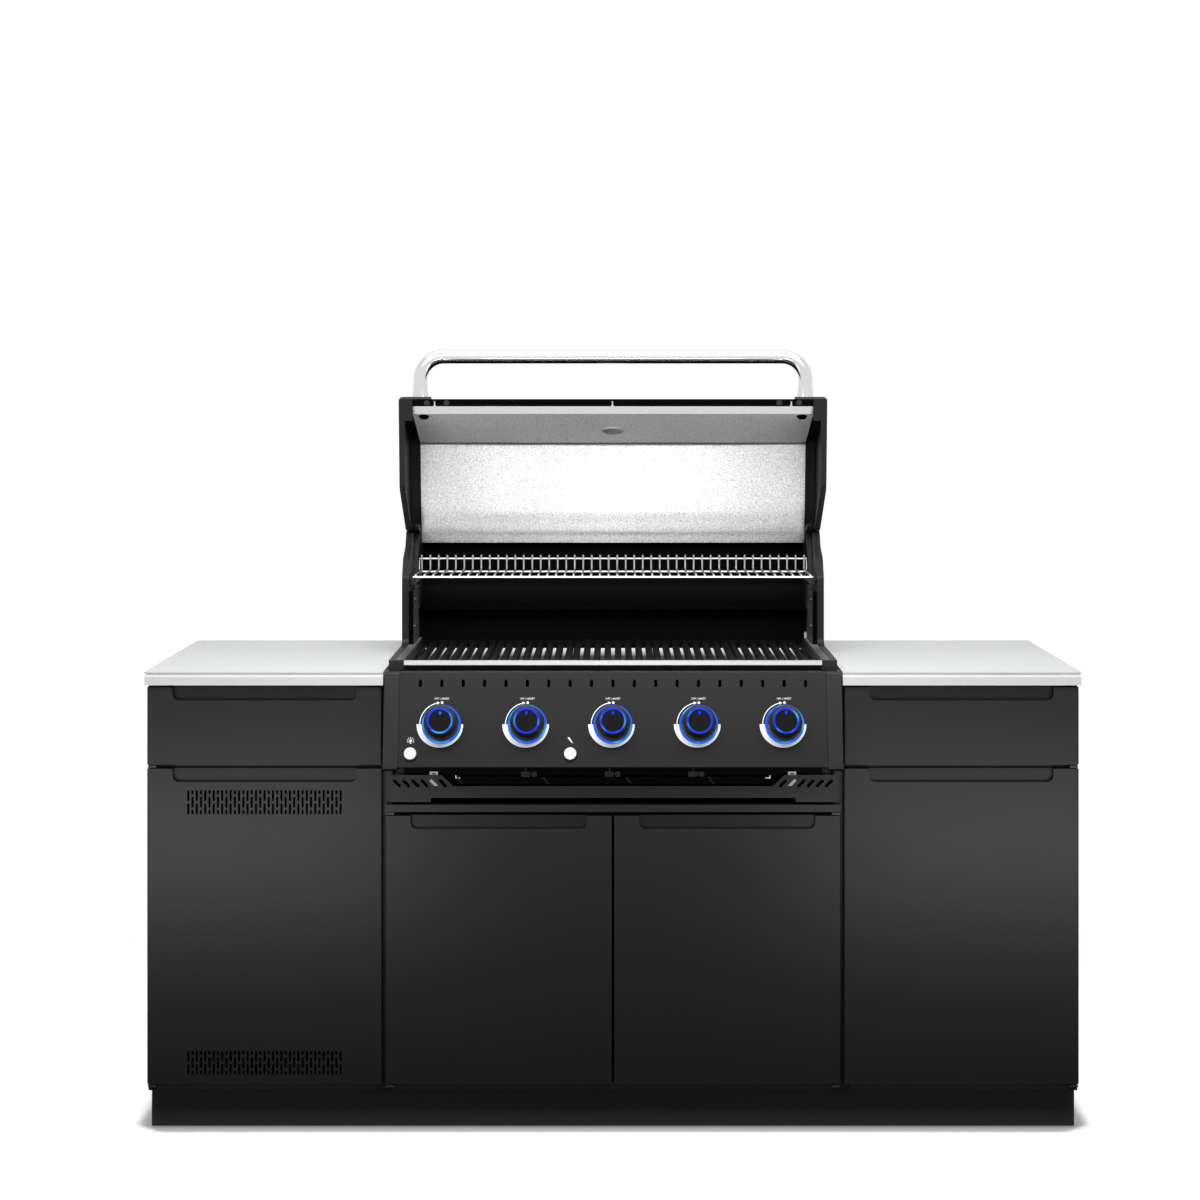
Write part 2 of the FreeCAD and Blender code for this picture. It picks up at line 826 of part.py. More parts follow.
def make_control_panel():
    """The bent sheet of the control panel with its slots and holes, and its two end caps."""
    inner = panel_sheet / cos_tilt
    top = panel_top_height
    bottom = panel_bottom_height
    flange_y = panel_y(bottom) + panel_lower_flange
    outline = [
        (panel_y(top), top, panel_bend),
        (firebox_front_y, top),
        (firebox_front_y, top - panel_sheet),
        (panel_y(top - panel_sheet) + inner, top - panel_sheet),
        (panel_y(bottom + panel_sheet) + inner, bottom + panel_sheet),
        (flange_y, bottom + panel_sheet),
        (flange_y, bottom),
        (panel_y(bottom), bottom, panel_bend),
    ]
    half_width = cooling_slot_width / 2
    half_run = (cooling_slot_length - cooling_slot_width) / 2
    slot = joined([
        box(-half_width, half_width, -half_run, half_run, -2 * panel_sheet, panel_sheet),
        rod(V(0, half_run, -2 * panel_sheet), V(0, half_run, panel_sheet), half_width),
        rod(V(0, -half_run, -2 * panel_sheet), V(0, -half_run, panel_sheet), half_width),
    ])
    slot_height = top - cooling_slot_drop
    first_slot = cooling_slot_end_room - panel_reach
    slot_pitch = -2 * first_slot / (cooling_slot_count - 1)
    cuts = [on_panel(slot, first_slot + i * slot_pitch, slot_height) for i in range(cooling_slot_count)]
    stem_hole = rod(V(0, 0, -2 * panel_sheet), V(0, 0, panel_sheet), stem_hole_radius)
    cuts += [on_panel(stem_hole, x, knob_height) for x in knob_xs]
    hole_radius = button_stem_radius + button_clearance
    button_hole = rod(V(0, 0, -2 * panel_sheet), V(0, 0, panel_sheet), hole_radius)
    cuts += [on_panel(button_hole, x, button_height) for x in (light_button_x, ignition_button_x)]
    save("control_panel", cut_all(side_prism(outline, -panel_reach, panel_reach), cuts))

    proud = end_cap_proud / cos_tilt
    cap_bottom = bottom - end_cap_drop
    cap_back = firebox_front_y - end_cap_proud
    cap = side_prism([
        (panel_y(top) - proud, top, 2 * panel_bend),
        (cap_back, top),
        (cap_back, cap_bottom),
        (panel_y(cap_bottom) - proud, cap_bottom, 2 * panel_bend),
    ], panel_reach, panel_half_width)
    save("panel_end_caps", both_sides(cap))


def make_knobs():
    """Knobs on sprung stems, each with its bezel, light ring and valve, on one manifold."""
    bezel = washer(bezel_radius, stem_hole_radius, 0, bezel_thickness)
    ring_top = bezel_thickness + light_ring_thickness
    ring = washer(light_ring_outer, light_ring_inner, bezel_thickness, ring_top)
    bore = stem_radius + running_clearance
    grip_end = knob_base + stem_grip
    knob = turned([
        (0, knob_projection),
        (knob_face_flat, knob_projection),
        (knob_face_radius, knob_projection - knob_edge),
        (knob_shoulder_radius, knob_projection - knob_face_depth),
        (knob_base_radius, knob_base),
        (knob_pocket_radius, knob_base),
        (knob_pocket_radius, knob_base + knob_pocket_depth),
        (knob_hub_radius, knob_base + knob_pocket_depth),
        (knob_hub_radius, knob_base),
        (bore, knob_base),
        (bore, grip_end),
        (0, grip_end),
    ])
    mark_end = V(0, knob_mark_reach, knob_projection)
    knob = knob.cut(rod(mark_end - V(0, 0, knob_mark_depth), mark_end, knob_mark_radius))
    stem_end = valve_back + valve_floor + knob_travel + knob_air
    stem = rod(V(0, 0, stem_end), V(0, 0, grip_end - running_clearance), stem_radius)
    manifold_depth = valve_back - manifold_radius / 2
    reach = knob_xs[-1] + bezel_radius
    pipe_line = rod(V(-reach, 0, manifold_depth), V(reach, 0, manifold_depth), manifold_radius)
    valve = rod(V(0, 0, manifold_depth), V(0, 0, valve_front), valve_radius)
    valve = cut_all(valve, [pipe_line, rod(V(0, 0, valve_back + valve_floor), V(0, 0, valve_front), bore)])
    save("knob_bezels", [on_panel(bezel, x, knob_height) for x in knob_xs])
    save("light_rings", [on_panel(ring, x, knob_height) for x in knob_xs])
    save("gas_valves", [on_panel(valve, x, knob_height) for x in knob_xs])
    for i, x in enumerate(knob_xs):
        save("knob_" + str(i + 1), on_panel(knob, x, knob_height))
        save("valve_stem_" + str(i + 1), on_panel(stem, x, knob_height))
    manifold = on_panel(pipe_line, 0, knob_height)
    middle = manifold.BoundBox.Center
    bracket_x = (knob_xs[-1] + reach) / 2 + valve_radius / 2
    bracket = box(
        bracket_x - valve_radius / 2, bracket_x + valve_radius / 2, middle.y, firebox_front_y,
        middle.z - manifold_radius / 2, middle.z + manifold_radius / 2,
    )
    save("gas_manifold", joined([manifold] + both_sides(bracket)))


def make_buttons():
    """The light and ignition buttons, held behind the panel by a flange."""
    head_low = button_travel + button_clearance
    back = -panel_sheet - button_clearance
    button = joined([
        rod(V(0, 0, head_low), V(0, 0, head_low + button_proud), button_radius),
        rod(V(0, 0, -button_stem_length), V(0, 0, head_low), button_stem_radius),
        rod(V(0, 0, back - button_flange), V(0, 0, back), button_flange_radius),
    ])
    rim = [edge for edge in button.Edges if edge.BoundBox.ZMin > head_low + button_proud - touching]
    button = button.makeFillet(button_round, rim)
    save("light_button", on_panel(button, light_button_x, button_height))
    save("ignition_button", on_panel(button, ignition_button_x, button_height))


def make_leads_and_clips():
    """Lead connectors hanging from the panel's lower flange and white clips behind the end plates."""
    leads = []
    lead_y = panel_y(panel_bottom_height) + panel_lower_flange - lead_block_depth / 2
    block_top = panel_bottom_height - lead_drop
    block_bottom = block_top - lead_block_height
    neck_bottom = block_bottom + (lead_block_height - lead_neck_height) / 2
    y0 = lead_y - lead_block_depth / 2
    y1 = lead_y + lead_block_depth / 2
    for i in range(lead_count):
        x = lead_first_x + i * lead_pitch
        neck_x = x + lead_plug_length
        socket_x = neck_x + lead_neck_length
        plug = box(x, neck_x, y0, y1, block_bottom, block_top)
        neck = box(neck_x, socket_x, y0 + lead_radius, y1 - lead_radius,
                   neck_bottom, neck_bottom + lead_neck_height)
        socket = box(socket_x, socket_x + lead_block_height, y0, y1, block_bottom, block_top)
        lead_x = x + lead_block_height
        lead = rod(V(lead_x, lead_y, block_top), V(lead_x, lead_y, panel_bottom_height), lead_radius)
        leads.append(joined([plug, neck, socket, lead]))
    save("igniter_leads", leads)

    plate_back = door_front_y + slotted_rail_setback + slotted_rail_sheet
    plate_top = slotted_bar_top + end_plate_height
    clip_x = end_plate_outer - plate_slot_inset - (plate_slot_count - 2) * plate_slot_pitch
    clip = box(
        clip_x - clip_width / 2, clip_x + clip_width / 2, plate_back, plate_back + clip_sheet,
        slotted_bar_top, plate_top + clip_sheet * 2,
    )
    eye = box(
        clip_x - clip_width / 4, clip_x + clip_width / 4, plate_back, plate_back + clip_sheet,
        plate_top, plate_top + clip_sheet,
    )
    save("cable_clips", both_sides(clip.cut(eye)))


# Firebox
wall_front_y = firebox_front_y + front_wall
wall_back_y = firebox_back_y - front_wall
grid_bottom = rim_height - grid_height
grid_front_y = wall_front_y + grid_end_air
grid_back_y = wall_back_y - grid_rear_room
grid_length = grid_back_y - grid_front_y
rack_seat = rack_height - rack_rod_radius
rack_arm_front = rack_front + rack_arm_width


# Corners of a tower about the lid hinge, from front to rear: run, rise and round
tower_corners = [
    (-tower_front, tower_shoulder, tower_shoulder_round),
    (-tower_cheek_run, tower_cheek, tower_cheek_round),
    (-tower_saddle_run, tower_saddle, tower_saddle_round),
    (tower_peak_run, tower_peak, tower_peak_round),
    (tower_crown_run, tower_crown, tower_shoulder_round),
    (tower_rear, tower_rear_shoulder, tower_rear_round),
]
tower_reach = max(math.hypot(run, rise) for run, rise, radius in tower_corners)


def tower_outline():
    """Side outline of an end casting: a rim along the firebox and a tower round the lid hinge."""
    foot = [
        (hinge_y + tower_rear, rim_bottom),
        (firebox_front_y, rim_bottom),
        (firebox_front_y, rim_height),
        (hinge_y - tower_front, rim_height, tower_foot_round),
    ]
    return foot + [(hinge_y + run, hinge_height + rise, radius) for run, rise, radius in tower_corners]


def make_firebox_ends():
    """Cast ends with hinge towers and the arms that carry the warming rack, and the hinge pins."""
    tower = side_prism(tower_outline(), tower_inner_x, firebox_half_width)
    wall = box(wall_inner_x, tower_inner_x, firebox_front_y, firebox_back_y, firebox_bottom, rim_height)
    cheek = box(
        cheek_x, tower_inner_x, hinge_y - tower_front, hinge_y + tower_rear,
        rim_height, hinge_height - inner_cheek_drop,
    )
    arm_bottom = rack_seat - rack_arm_height
    arm = box(
        wall_inner_x - rack_arm_width, wall_inner_x,
        hinge_y - rack_arm_front, hinge_y - rack_arm_rear, arm_bottom, rack_seat,
    )
    ledge = box(
        wall_inner_x, tower_inner_x,
        hinge_y - rack_ledge_front, hinge_y - rack_arm_rear, arm_bottom, rack_seat,
    )
    pin_start = V(tower_inner_x - ear_gap - ear_thickness, hinge_y, hinge_height)
    pin_end = V(firebox_half_width, hinge_y, hinge_height)
    head_end = pin_end + V(ear_gap, 0, 0)
    hole = rod(pin_start, pin_end, hinge_pin_radius + running_clearance)
    right = joined([tower, wall, cheek, arm, ledge]).cut(hole)
    pin = joined([
        rod(pin_start, pin_end, hinge_pin_radius),
        rod(pin_end, head_end, hinge_head_radius),
    ])
    save("firebox_right_end", right)
    save("firebox_left_end", mirrored(right))
    save("lid_hinge_pins", both_sides(pin))


def make_firebox_walls():
    """Front and back walls with grid ledges, the floor with its grease outlet, and the trim strip."""
    reach = wall_inner_x
    front = box(
        -reach, reach, firebox_front_y, wall_front_y, tray_top + tray_head_gap, rim_height - trim_sheet
    )
    front_ledge = box(
        -reach, reach, wall_front_y, wall_front_y + grid_end_air + ledge_depth,
        grid_bottom - ledge_height, grid_bottom,
    )
    burner_hole = burner_radius + burner_hole_clearance
    holes = [
        rod(V(x, firebox_front_y, burner_height), V(x, wall_front_y, burner_height), burner_hole)
        for x in knob_xs
    ]
    save("firebox_front", cut_all(joined([front, front_ledge]), holes))
    back = box(-reach, reach, wall_back_y, firebox_back_y, firebox_bottom, rim_height)
    back_top = box(-cheek_x, cheek_x, wall_back_y, firebox_back_y, rim_height, back_wall_top)
    back_ledge = box(
        -reach, reach, grid_back_y - ledge_depth, wall_back_y, grid_bottom - ledge_height, grid_bottom
    )
    save("firebox_back_wall", joined([back, back_top, back_ledge]))
    floor = box(-reach, reach, wall_front_y, wall_back_y, firebox_bottom, firebox_bottom + floor_sheet)
    outlet = box(
        -tray_half_width / 2, tray_half_width / 2,
        wall_front_y + tray_length / 3, wall_front_y + tray_length * 2 / 3,
        firebox_bottom, firebox_bottom + floor_sheet,
    )
    save("firebox_floor", floor.cut(outlet))
    strip_front = firebox_front_y - trim_sheet
    flange_back = firebox_front_y + trim_flange
    strip = joined([
        box(-reach, reach, strip_front, firebox_front_y, rim_height - trim_height, rim_height),
        box(-reach, reach, firebox_front_y, flange_back, rim_height - trim_sheet, rim_height),
    ])
    save("front_trim_strip", strip)


def make_cooking_parts():
    """Tube burners, heat tents over them, cooking grids and the warming rack."""
    burners = []
    tents = []
    ridge = [
        V(-tent_half_width, wall_front_y, tent_height),
        V(0, wall_front_y, tent_height + tent_rise),
        V(tent_half_width, wall_front_y, tent_height),
        V(tent_half_width, wall_front_y, tent_height - tent_sheet),
        V(0, wall_front_y, tent_height + tent_rise - tent_sheet),
        V(-tent_half_width, wall_front_y, tent_height - tent_sheet),
    ]
    tent = Part.Face(Part.makePolygon(ridge + ridge[:1])).extrude(V(0, wall_back_y - wall_front_y, 0))
    for x in knob_xs:
        start = V(x, firebox_front_y - burner_hole_clearance, burner_height)
        end = V(x, wall_back_y, burner_height)
        cap = V(0, burner_radius - burner_bore, 0)
        burners.append(rod(start, end, burner_radius).cut(rod(start, end - cap, burner_bore)))
        tents.append(tent.translated(V(x, 0, 0)))
    save("burners", burners)
    save("heat_tents", tents)

    grids = []
    span = 2 * wall_inner_x - 2 * grid_end_air
    grid_width = span / grid_count - grid_gap
    slope = grid_bar_slope
    bar_pitch = (grid_width - grid_bar_width) / (grid_bars - 1)
    bar_bottom = rim_height - grid_bar_height
    for i in range(grid_count):
        x0 = -span / 2 + i * span / grid_count + grid_gap / 2
        bars = []
        rear = (grid_back_y - grid_frame, grid_bottom + grid_rear_lift)
        for y0, z0 in ((grid_front_y, grid_bottom), rear):
            bars.append(box(x0, x0 + grid_width, y0, y0 + grid_frame, z0, rim_height - slope))
        for left in (x0, x0 + grid_width - grid_bar_width):
            bars.append(box(left, left + grid_bar_width, rear[0], grid_back_y, grid_bottom, rear[1]))
        for j in range(grid_bars):
            left = x0 + j * bar_pitch
            right = left + grid_bar_width
            section = [
                V(left, grid_front_y, bar_bottom),
                V(left, grid_front_y, rim_height - slope),
                V(left + slope, grid_front_y, rim_height),
                V(right - slope, grid_front_y, rim_height),
                V(right, grid_front_y, rim_height - slope),
                V(right, grid_front_y, bar_bottom),
            ]
            bars.append(Part.Face(Part.makePolygon(section + section[:1])).extrude(V(0, grid_length, 0)))
        grids.append(joined(bars))
    save("cooking_grids", grids)


def make_warming_rack():
    """A wire shelf with a turned-up back, resting on the tower arms."""
    front_y = hinge_y - rack_front
    back_y = front_y + rack_depth
    weld = rack_wire_radius / 4
    wire_z = rack_height + rack_rod_radius + rack_wire_radius - weld
    top_z = rack_height + rack_upturn
    reach = rack_half_width
    rods = []
    seat_rear = hinge_y - rack_arm_rear - rack_arm_width
    for rod_y in (front_y, seat_rear):
        rods.append(rod(V(-reach, rod_y, rack_height), V(reach, rod_y, rack_height), rack_rod_radius))
    top_y = back_y + 2 * rack_wire_radius - weld
    top_rod_z = top_z - rack_top_rod_drop
    rods.append(rod(V(-reach, top_y, top_rod_z), V(reach, top_y, top_rod_z), rack_wire_radius))
    span = 2 * (reach - 2 * rack_rod_radius)
    wires = []
    for i in range(rack_wires):
        x = -span / 2 + i * span / (rack_wires - 1)
        bend = V(x, back_y, wire_z)
        wires.append(rod(V(x, front_y - rack_rod_radius, wire_z), bend, rack_wire_radius))
        wires.append(rod(bend, V(x, back_y, top_z), rack_wire_radius))
        wires.append(Part.makeSphere(rack_wire_radius, bend))
    save("warming_rack", rods[0].multiFuse(rods[1:] + wires))


def make_drip_tray():
    """A shallow tray that slides out under the control panel on its two side flanges."""
    reach = tray_half_width
    y0 = firebox_front_y
    y1 = y0 + tray_length
    tub = box(-reach, reach, y0, y1, tray_bottom, tray_top)
    hollow = box(
        -reach + tray_sheet, reach - tray_sheet, y0 + tray_sheet, y1 - tray_sheet,
        tray_bottom + tray_sheet, tray_top,
    )
    flange = box(reach, reach + tray_flange, wall_front_y, y1, tray_top - tray_sheet, tray_top)
    save("drip_tray", joined([tub.cut(hollow)] + both_sides(flange)))


def make_fasteners():
    """Screws on the inner faces of the towers."""
    screws = []
    for drop in cheek_screw_drops:
        head = V(cheek_x, hinge_y - cheek_screw_front, hinge_height - drop)
        screws.append(rod(head - V(screw_head_height, 0, 0), head, screw_head_radius))
    save("fasteners", screws + [mirrored(screw) for screw in screws])


# Lid, drawn shut about the hinge in (rearward, upward) places and then swung open
lean = math.radians(lid_front_lean)
pitch = math.radians(lid_top_pitch)
front_up = V(0, math.sin(lean), math.cos(lean))
front_out = V(0, -math.cos(lean), math.sin(lean))
top_back = V(0, math.cos(pitch), math.sin(pitch))
top_out = V(0, -math.sin(pitch), math.cos(pitch))
swing = math.radians(lid_swing)
handle_out = V(0, -math.sin(swing), math.cos(swing))
lid_reach = firebox_half_width - lid_end_width
lip = V(0, -hinge_setback, rim_height + lid_seat_gap - hinge_height)
liner_1 = lip - front_out * lid_gap + front_up * lid_rim_set
liner_2 = liner_1 + front_up * lid_front_length
liner_3 = liner_2 + top_back * lid_top_length
rim_in = liner_1 - lip
rim_in.normalize()
rim_up = V(0, -rim_in.z, rim_in.y)


def corner(point, one, other, distance):
    """The corner where two faces through a point meet after both move out by a distance."""
    return point + (one + other) * (distance / (1 + one.dot(other)))


def crossing(start, along, other, way):
    """Where two lines in the side view meet."""
    gap = other - start
    turn = along.y * way.z - along.z * way.y
    return start + along * ((gap.y * way.z - gap.z * way.y) / turn)


def pair(point, radius=0.0):
    """A corner for a side outline."""
    return (point.y, point.z, radius)


def opened(shape):
    """A lid piece swung from shut to open and moved to the hinge."""
    placed = shape.copy()
    placed.rotate(V(0, 0, 0), V(1, 0, 0), -lid_swing)
    placed.translate(V(0, hinge_y, hinge_height))
    return placed


rear_out = V(0, 1, 0)
top_corner = corner(liner_2, front_out, top_out, lid_gap)
rear_foot = V(0, lid_rear_reach, lid_rear_end)
rear_corner = crossing(top_corner, top_back, rear_foot, V(0, 0, 1))
gauge_base = lip + front_up * gauge_up
bolt_base = liner_1 + front_up * (handle_back - lid_rim_set / 2)


def make_lid_shell():
    """The outer panel with its hem and the inner liner, both pierced for the thermometer."""
    hem_end = lip + rim_in * hem_width
    hem_top = hem_end + rim_up * lid_sheet
    top_inner = corner(top_corner, front_out, top_out, -lid_sheet)
    rear_inner = corner(rear_corner, top_out, rear_out, -lid_sheet)
    hem_root = crossing(top_inner, front_up, hem_top, rim_in)
    outer = side_prism([
        pair(lip),
        pair(top_corner, lid_corner_round),
        pair(rear_corner, lid_rear_round),
        pair(rear_foot),
        pair(rear_foot - rear_out * lid_sheet),
        pair(rear_inner, lid_rear_round - lid_sheet),
        pair(top_inner, lid_corner_round - lid_sheet),
        pair(hem_root),
        pair(hem_top),
        pair(hem_end),
    ], -lid_reach, lid_reach)
    hole = rod(gauge_base - front_out * 2 * lid_gap, gauge_base + front_out * lid_gap,
               gauge_stem_radius + button_clearance)
    save("lid_outer_panel", opened(outer.cut(hole)))
    flange_root = crossing(
        liner_1 + front_out * liner_sheet, front_up, hem_end + rim_up * liner_sheet, rim_in
    )
    liner = side_prism([
        pair(hem_end),
        pair(liner_1),
        pair(liner_2, lid_corner_round / 4),
        pair(liner_3),
        pair(liner_3 + top_out * liner_sheet),
        pair(corner(liner_2, front_out, top_out, liner_sheet), lid_corner_round / 4 + liner_sheet),
        pair(flange_root),
        pair(hem_end + rim_up * liner_sheet),
    ], -lid_reach, lid_reach)
    save("lid_inner_liner", opened(liner.cut(hole)))


def make_lid_ends():
    """Cast end caps, hollow inside, with a hinge ear and the boss under the handle."""
    cap_rear = crossing(top_corner, top_back, V(0, -lid_cap_rear, 0), V(0, 0, 1))
    notch = V(0, lip.y + lid_notch_run, lip.z)
    saddle = V(0, -tower_front, tower_shoulder * 2)
    outline = [
        pair(lip),
        pair(top_corner, lid_corner_round),
        pair(cap_rear),
        (-lid_cap_rear, tower_cheek),
        pair(saddle, lid_saddle_round),
        pair(notch, lid_notch_round),
    ]
    edge_back = saddle - notch
    edge_back.normalize()
    inward = V(0, -edge_back.z, edge_back.y)
    step = side_prism([
        (lip.y + lid_step_start, lip.z - lid_cap_air),
        (notch.y + lid_step_depth, lip.z - lid_cap_air),
        pair(saddle - inward * lid_step_depth),
        pair(saddle + inward * lid_step_depth),
        (lip.y + lid_step_start, lip.z + lid_step_depth),
    ], lid_reach, lid_reach + lid_step_width)
    clear = tower_reach + lid_cap_air
    x0 = lid_reach
    x1 = firebox_half_width
    cap_face = side_face(outline, x0)
    axle = V(x0, 0, 0)
    far = V(x1, 0, 0)
    cap = cap_face.extrude(V(lid_end_width, 0, 0)).cut(rod(axle, far, clear))
    pocket = cap_face.makeOffset2D(-lid_end_rim).extrude(V(lid_end_width - lid_end_wall, 0, 0))
    rest = rod(axle, far, clear + lid_end_rim)
    cap = cut_all(cap, [pocket.cut(rest), step.cut(rest)])
    ear_x0 = tower_inner_x - ear_gap - ear_thickness
    ear_x1 = ear_x0 + ear_thickness
    bar = box(ear_x0, ear_x1, 0, clear + ear_overlap, -ear_radius, ear_radius)
    bar.rotate(V(0, 0, 0), V(1, 0, 0), ear_lean + lid_swing)
    eye = rod(V(ear_x0, 0, 0), V(ear_x1, 0, 0), ear_radius)
    pin_hole = rod(V(ear_x0, 0, 0), V(ear_x1, 0, 0), hinge_pin_radius + running_clearance)
    boss = side_prism([
        pair(lip),
        pair(lip + front_out * lid_boss_height),
        pair(lip + front_out * lid_boss_height + front_up * lid_boss_length),
        pair(lip + front_up * lid_boss_length),
    ], x1 - lid_boss_width, x1)
    web = side_prism([
        pair(cap_rear - V(0, lid_web_lap, 0)),
        pair(rear_corner, lid_rear_round),
        pair(rear_foot),
        (-lid_cap_rear - lid_web_lap, tower_cheek),
    ], x0, x0 + lid_web)
    core = lip + front_out * (lid_boss_height - lid_boss_round) + V(x1 - lid_boss_round, 0, 0)
    out = front_out * (2 * lid_boss_round)
    across = V(2 * lid_boss_round, 0, 0)
    run = front_up * lid_boss_length
    block = Part.Face(Part.makePolygon([core, core + across, core + across + out, core + out, core]))
    ease = block.extrude(run).cut(rod(core, core + run, lid_boss_round))
    right = opened(cut_all(joined([cap, bar, eye, boss, web]), [pin_hole, ease]))
    save("lid_end_cap_right", right)
    save("lid_end_cap_left", mirrored(right))


def make_handle():
    """The bent tube handle on its two cone standoffs."""
    across = V(1, 0, 0)
    base = lip + front_out * lid_boss_height + front_up * handle_back
    foot = base + handle_out * standoff_height
    peak = base + handle_out * handle_lift
    left = across * -handle_half_span
    right = across * handle_half_span
    inset = across * handle_bend
    drop = handle_out * handle_bend
    slant = handle_bend * (1 - math.sqrt(0.5))
    left_middle = peak + left + across * slant - handle_out * slant
    right_middle = peak + right - across * slant - handle_out * slant
    path = Part.Wire([
        Part.LineSegment(foot + left, peak + left - drop).toShape(),
        Part.Arc(peak + left - drop, left_middle, peak + left + inset).toShape(),
        Part.LineSegment(peak + left + inset, peak + right - inset).toShape(),
        Part.Arc(peak + right - inset, right_middle, peak + right - drop).toShape(),
        Part.LineSegment(peak + right - drop, foot + right).toShape(),
    ])
    tubes = []
    for radius in (handle_radius, handle_radius - handle_wall):
        circle = Part.Wire(Part.makeCircle(radius, foot + left, handle_out))
        tubes.append(path.makePipeShell([circle], True, False))
    save("lid_handle", opened(tubes[0].cut(tubes[1])))

    deep = standoff_base_radius
    cones = []
    for wall in (0.0, standoff_wall):
        cones.append(Part.makeCone(
            standoff_base_radius - wall, handle_radius - wall, standoff_height + deep,
            base + right - handle_out * deep, handle_out,
        ))
    seat = side_prism([
        pair(base - front_up * lid_boss_length),
        pair(base + front_up * lid_boss_length),
        pair(base + front_up * lid_boss_length - front_out * lid_boss_length),
        pair(base - front_up * lid_boss_length - front_out * lid_boss_length),
    ], handle_half_span - lid_boss_length, handle_half_span + lid_boss_length)
    save("handle_standoffs", both_sides(opened(cut_all(cones[0], [cones[1], seat]))))


def make_lid_fittings():
    """The thermometer through the lid front, hem screws and the handle bolts."""
    skin = gauge_base - front_out * lid_gap
    dial = rod(gauge_base, gauge_base + front_out * gauge_depth, gauge_radius)
    stem = rod(skin - front_out * gauge_nut_depth, gauge_base, gauge_stem_radius)
    nut = rod(skin - front_out * gauge_nut_depth, skin, gauge_nut_radius)
    save("lid_thermometer", opened(joined([dial, stem, nut])))
    screws = []
    hem_middle = lip + rim_in * (hem_width / 2)
    boss_end = firebox_half_width - lid_boss_width
    first_x = boss_end + hem_screw_inset
    for x in (first_x, first_x - hem_screw_spread):
        head = hem_middle + V(x, 0, 0)
        screws.append(rod(head - rim_up * screw_head_height, head, screw_head_radius))
    bolt = bolt_base + V(handle_half_span, 0, 0)
    screws.append(rod(bolt - front_out * handle_bolt_height, bolt, handle_bolt_radius))
    screws = [opened(screw) for screw in screws]
    save("lid_screws", screws + [mirrored(screw) for screw in screws])


os.makedirs("parts", exist_ok=True)
make_carcasses()
make_countertops()
make_rails()
make_slotted_rail()
make_channels()
make_doors()
make_drawers()
make_control_panel()
make_knobs()
make_buttons()
make_leads_and_clips()
make_firebox_ends()
make_firebox_walls()
make_cooking_parts()
make_warming_rack()
make_drip_tray()
make_fasteners()
make_lid_shell()
make_lid_ends()
make_handle()
make_lid_fittings()
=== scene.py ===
"""Finishes, small trim and studio for an outdoor-kitchen gas grill island."""

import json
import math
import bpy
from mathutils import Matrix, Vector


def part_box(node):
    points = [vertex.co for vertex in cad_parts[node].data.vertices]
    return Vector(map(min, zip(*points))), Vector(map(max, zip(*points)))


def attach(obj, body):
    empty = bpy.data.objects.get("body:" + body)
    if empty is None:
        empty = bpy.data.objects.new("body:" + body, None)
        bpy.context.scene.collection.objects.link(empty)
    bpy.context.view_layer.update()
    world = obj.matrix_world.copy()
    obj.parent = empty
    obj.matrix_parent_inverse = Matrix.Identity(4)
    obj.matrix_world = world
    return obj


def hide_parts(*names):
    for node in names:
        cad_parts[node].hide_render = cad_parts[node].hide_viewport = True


bl_info = {
    "name": "Grill Island",
    "version": (1, 0, 0),
    "blender": (4, 5, 0),
    "location": "View3D > Sidebar > Grill Island",
    "description": "Finishes, lit knobs, printed marks, trim and a studio for a gas grill island",
    "category": "Object",
}

import bmesh
import bpy
from bpy.props import FloatProperty, FloatVectorProperty, IntProperty, PointerProperty
from mathutils import Matrix, Vector

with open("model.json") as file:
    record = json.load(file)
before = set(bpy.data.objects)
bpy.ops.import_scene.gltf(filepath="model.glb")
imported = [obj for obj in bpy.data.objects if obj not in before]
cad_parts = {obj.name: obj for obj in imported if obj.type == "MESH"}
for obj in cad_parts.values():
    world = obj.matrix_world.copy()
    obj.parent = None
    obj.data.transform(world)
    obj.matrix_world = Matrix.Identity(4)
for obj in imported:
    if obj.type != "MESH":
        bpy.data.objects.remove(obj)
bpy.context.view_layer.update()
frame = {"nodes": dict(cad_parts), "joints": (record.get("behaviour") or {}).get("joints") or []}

MM = 0.001
ACROSS = Vector((1.0, 0.0, 0.0))
SIDES = (-1.0, 1.0)
JOINTS = {joint["name"]: joint for joint in frame["joints"]}
KNOB_COUNT = 5
SMOOTH_ANGLE = 40.0
MERGE_GAP = 0.01


def colour_prop(name, description, default):
    """A colour that a user may change."""
    return FloatVectorProperty(
        name=name, description=description, default=default, size=3, subtype="COLOR", min=0.0, max=1.0
    )


def length_prop(name, description, default):
    """A length in metres that a user may change."""
    return FloatProperty(
        name=name, description=description, default=default, unit="LENGTH", min=0.0, precision=4
    )


def level_prop(name, description, default):
    """A lamp's power, or another level of light, that a user may change."""
    return FloatProperty(name=name, description=description, default=default, min=0.0)


